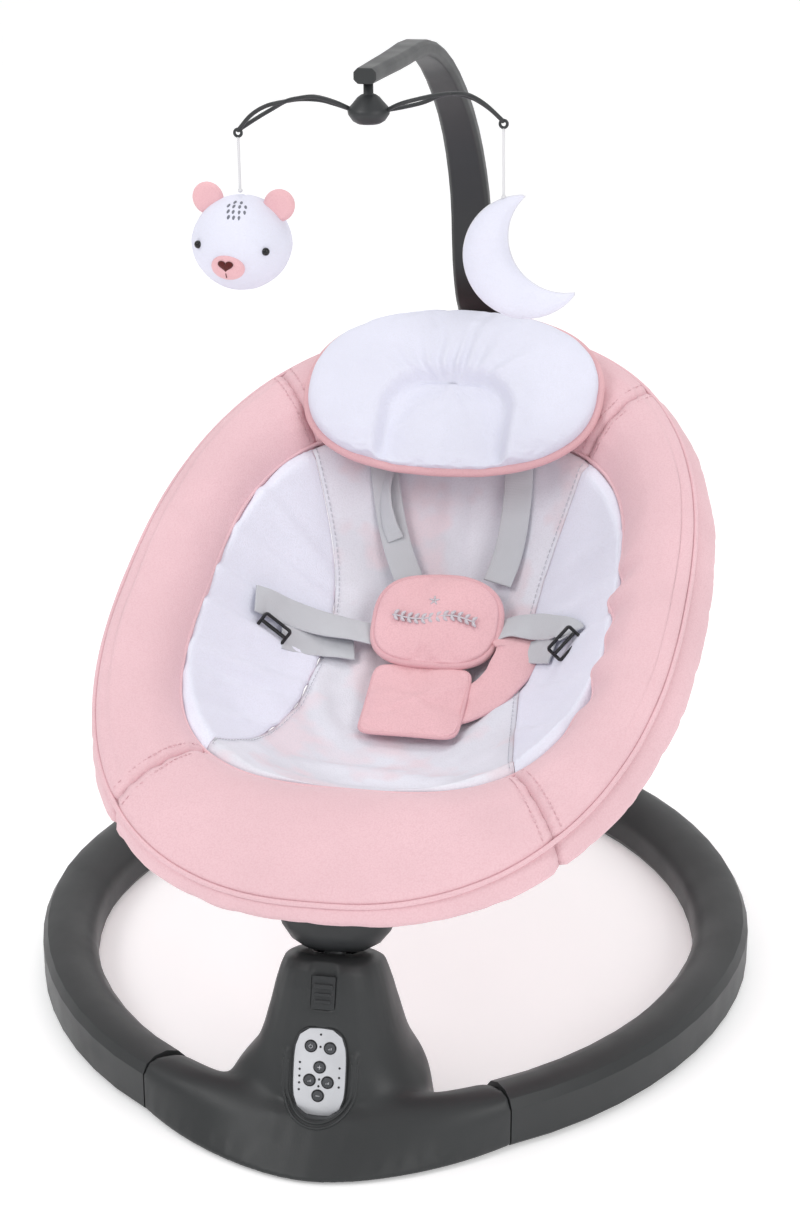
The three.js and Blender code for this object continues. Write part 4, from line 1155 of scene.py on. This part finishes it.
# ------------------------------------------------------------------ panel details
BUTTONS = {"power": (-7, 18.5), "music": (7, 18), "faster": (0, 3.5), "slower": (-0.5, -17.5),
           "timer": (-7, -6.5), "volume": (6.2, -7.2)}
PANEL_TOP = 0.6
KEY_TOP = PANEL_TOP + 1.2
rings = []
for name, (x, y) in BUTTONS.items():
    circle = [Vector((x + 4.35 * math.cos(w), y + 4.35 * math.sin(w), PANEL_TOP + 0.1))
              for w in np.linspace(0, 2 * math.pi, 32, endpoint=False)]
    rings.append(tube(circle, (0.5, 0.35), 8, True, across=(0, 0, 1)))
    cap = [(0, -2), (3.75, -2), (3.85, KEY_TOP - 0.7), (3.6, KEY_TOP - 0.2), (3.0, KEY_TOP), (2.2, KEY_TOP - 0.28),
           (0, KEY_TOP - 0.36)]
    v, f = turned(cap, 32)
    make(f"key_{name}", v, f, PANEL @ Matrix.Translation((x, y, 0)), f"{name}_key", button_face, "dark_plastic",
         [f"button_{name}"])
    marks = []
    z = KEY_TOP - 0.3
    if name == "power":
        arc = [Vector((1.3 * math.sin(w), 1.3 * math.cos(w), z)) for w in np.linspace(0.6, 5.68, 16)]
        marks = [tube(arc, (0.22, 0.14), 6, across=(0, 0, 1)),
                 tube([Vector((0, 0.5, z)), Vector((0, 1.8, z))], (0.22, 0.14), 6)]
    elif name in ("faster", "slower"):
        marks = [tube([Vector((-1.5, 0, z)), Vector((1.5, 0, z))], (0.22, 0.14), 6)]
        if name == "faster":
            marks.append(tube([Vector((0, -1.5, z)), Vector((0, 1.5, z))], (0.22, 0.14), 6))
    else:
        for k in range(3):
            h = 0.6 + 0.5 * k
            marks.append(tube([Vector((-1 + k, -1.1, z)), Vector((-1 + k, -1.1 + h, z))], (0.22, 0.14), 6))
    v, f = join(*marks)
    make(f"key_{name}_mark", v, f, PANEL @ Matrix.Translation((x, y, 0)), f"{name}_key", icon_paint, "silver_panel")
v, f = join(*rings)
make("panel_rings", v, f, PANEL, "base", button_ring, "black_plastic")

lamps = [(-14.5, y) for y in (-14, -9, -4, 1, 6)] + [(14.5, y) for y in (-10, -3, 4)] + [(0, 27.5), (0, 18.5)]
lamps += [(0, -5.5), (-0.3, -10.5)]
parts = [moved(turned([(0, -0.2), (0.85, -0.2), (0.85, 0.25), (0.5, 0.45), (0, 0.5)], 14),
               Matrix.Translation((x, y, PANEL_TOP))) for x, y in lamps]
v, f = join(*parts)
make("panel_lamps", v, f, PANEL, "base", lamp_dot, "black_plastic")

capsule = []
for d in np.arange(0, 360, 4.0):
    p = oval((19.4, 32.4, 3.4), float(d))
    capsule.append(Vector((p.x, p.y, 0.35)))
v, f = tube(capsule, (0.75, 0.6), 8, True, across=(0, 0, 1))
make("panel_rim", v, f, PANEL, "base", dark, "dark_plastic")

# two concentric mould lines below the panel
skin = bvhtree.BVHTree.FromPolygons([v.co for v in housing.data.vertices],
                                    [tuple(q.vertices) for q in housing.data.polygons])
to_row = METRES @ PANEL
to_panel = to_row.inverted()


def on_housing(x, y):
    """The point of the housing's front in line with (x, y) of the panel."""
    start = to_row @ Vector((x, y, 60))
    way = (to_row.to_3x3() @ Vector((0, 0, -1))).normalized()
    hit = skin.ray_cast(start, way, 0.2)[0]
    return to_panel @ hit if hit is not None else Vector((x, y, 0))


for index, (radius, up_by) in enumerate(((23.5, 8), (26.6, 9))):
    line = [Vector((-radius, up_by, 0)), *[Vector((radius * math.cos(w), -11 + radius * math.sin(w), 0))
            for w in np.linspace(math.pi, 2 * math.pi, 30)], Vector((radius, up_by, 0))]
    line = curve_points([line[0], line[0].lerp(line[1], 0.5), *line[1:-1], line[-2].lerp(line[-1], 0.5), line[-1]], 90)
    v, f = tube([on_housing(p.x, p.y) for p in line],
                lambda t: (1.3 * min(1, 6 * t, 6 * (1 - t)) + 0.05, 1.2), 10, across=(0, 0, 1))
    make(f"panel_ridge_{index + 1}", v, f, PANEL, "base", plastic, "plastic")

# ------------------------------------------------------------------ carried-over CAD nodes
FINISH = {"plastic": plastic, "dark_plastic": dark, "rubber": rubber, "silver_panel": silver, "steel": steel,
          "copper": copper, "board": green_board, "pink_fabric": pink, "white_fabric": white,
          "print_fabric": liner_print, "webbing": webbing, "black_plastic": black}
slots = {part["node"]: part["material_slot"] for part in frame["record"]["subparts"]}
SOFT_EDGE = {"ring_tube_left": 0.0025, "ring_tube_right": 0.0025, "rear_joiner": 0.0025, "toy_arch": 0.0012,
             "hub_cup": 0.001}
for name, obj in nodes.items():
    if obj.hide_render:
        continue
    obj.data.materials.clear()
    obj.data.materials.append(FINISH[slots[name]])
    weld = obj.modifiers.new("weld", "WELD")
    weld.merge_threshold = 0.00001
    bevel = obj.modifiers.new("bevel", "BEVEL")
    bevel.width = SOFT_EDGE.get(name, 0.0006)
    bevel.segments = 3
    bevel.limit_method = "ANGLE"
    bevel.angle_limit = math.radians(28)
    bevel.use_clamp_overlap = True
    bevel.harden_normals = False
    obj.data.shade_smooth()
    normal = obj.modifiers.new("normals", "WEIGHTED_NORMAL")
    normal.keep_sharp = True

# ------------------------------------------------------------------ floor, light and camera
mesh = bpy.data.meshes.new("floor")
size, back = 6.0, 3.2
rows = [(-size, 0.0), (back, 0.0)]
for w in np.linspace(0, math.pi / 2, 12)[1:]:
    rows.append((back + 1.5 * math.sin(w), 1.5 - 1.5 * math.cos(w)))
rows.append((back + 1.5, 6.0))
verts = [(x, y, z) for y, z in rows for x in (-size, size)]
mesh.from_pydata(verts, [], grid_faces(len(rows), 2))
mesh.shade_smooth()
floor_paint = Shader("floor", (0.9, 0.9, 0.905), 0.6, specular=0.2)
floor_paint.bsdf.inputs["Emission Color"].default_value = (1, 1, 1, 1)
floor_paint.bsdf.inputs["Emission Strength"].default_value = 0.3
mesh.materials.append(floor_paint.mat)
floor = bpy.data.objects.new("floor", mesh)
bpy.context.scene.collection.objects.link(floor)


def area_light(name, place, aim, power, size_m, color=(1, 1, 1)):
    data = bpy.data.lights.new(name, "AREA")
    data.shape = "DISK"
    data.size = size_m
    data.energy = power
    data.color = color
    obj = bpy.data.objects.new(name, data)
    bpy.context.scene.collection.objects.link(obj)
    obj.location = place
    obj.rotation_euler = (Vector(aim) - Vector(place)).to_track_quat("-Z", "Y").to_euler()


area_light("key", (-1.5, -1.6, 2.3), (0, 0, 0.35), 25, 1.4)
area_light("fill", (1.9, -1.5, 1.5), (0, 0, 0.35), 19, 1.6, (1, 0.99, 0.98))
area_light("top", (0.1, 0.5, 2.6), (0, 0, 0.3), 12, 1.4)
world = bpy.data.worlds.new("studio")
world.use_nodes = True
world.node_tree.nodes["Background"].inputs["Color"].default_value = (1, 1, 1, 1)
world.node_tree.nodes["Background"].inputs["Strength"].default_value = 0.6
bpy.context.scene.world = world
bpy.context.scene.view_settings.view_transform = "Standard"

AZIMUTH, ELEVATION, DISTANCE = math.radians(10.2), math.radians(21.4), 2.0
TARGET = Vector((0.003, 0.0122, 0.298))
back_way = Vector((math.sin(AZIMUTH) * math.cos(ELEVATION), -math.cos(AZIMUTH) * math.cos(ELEVATION),
                   math.sin(ELEVATION)))
camera = bpy.data.objects.new("camera", bpy.data.cameras.new("camera"))
bpy.context.scene.collection.objects.link(camera)
camera.data.lens = 74.54
camera.data.sensor_width = 36
camera.location = TARGET + back_way * DISTANCE
camera.rotation_euler = back_way.to_track_quat("Z", "Y").to_euler()
bpy.context.scene.camera = camera
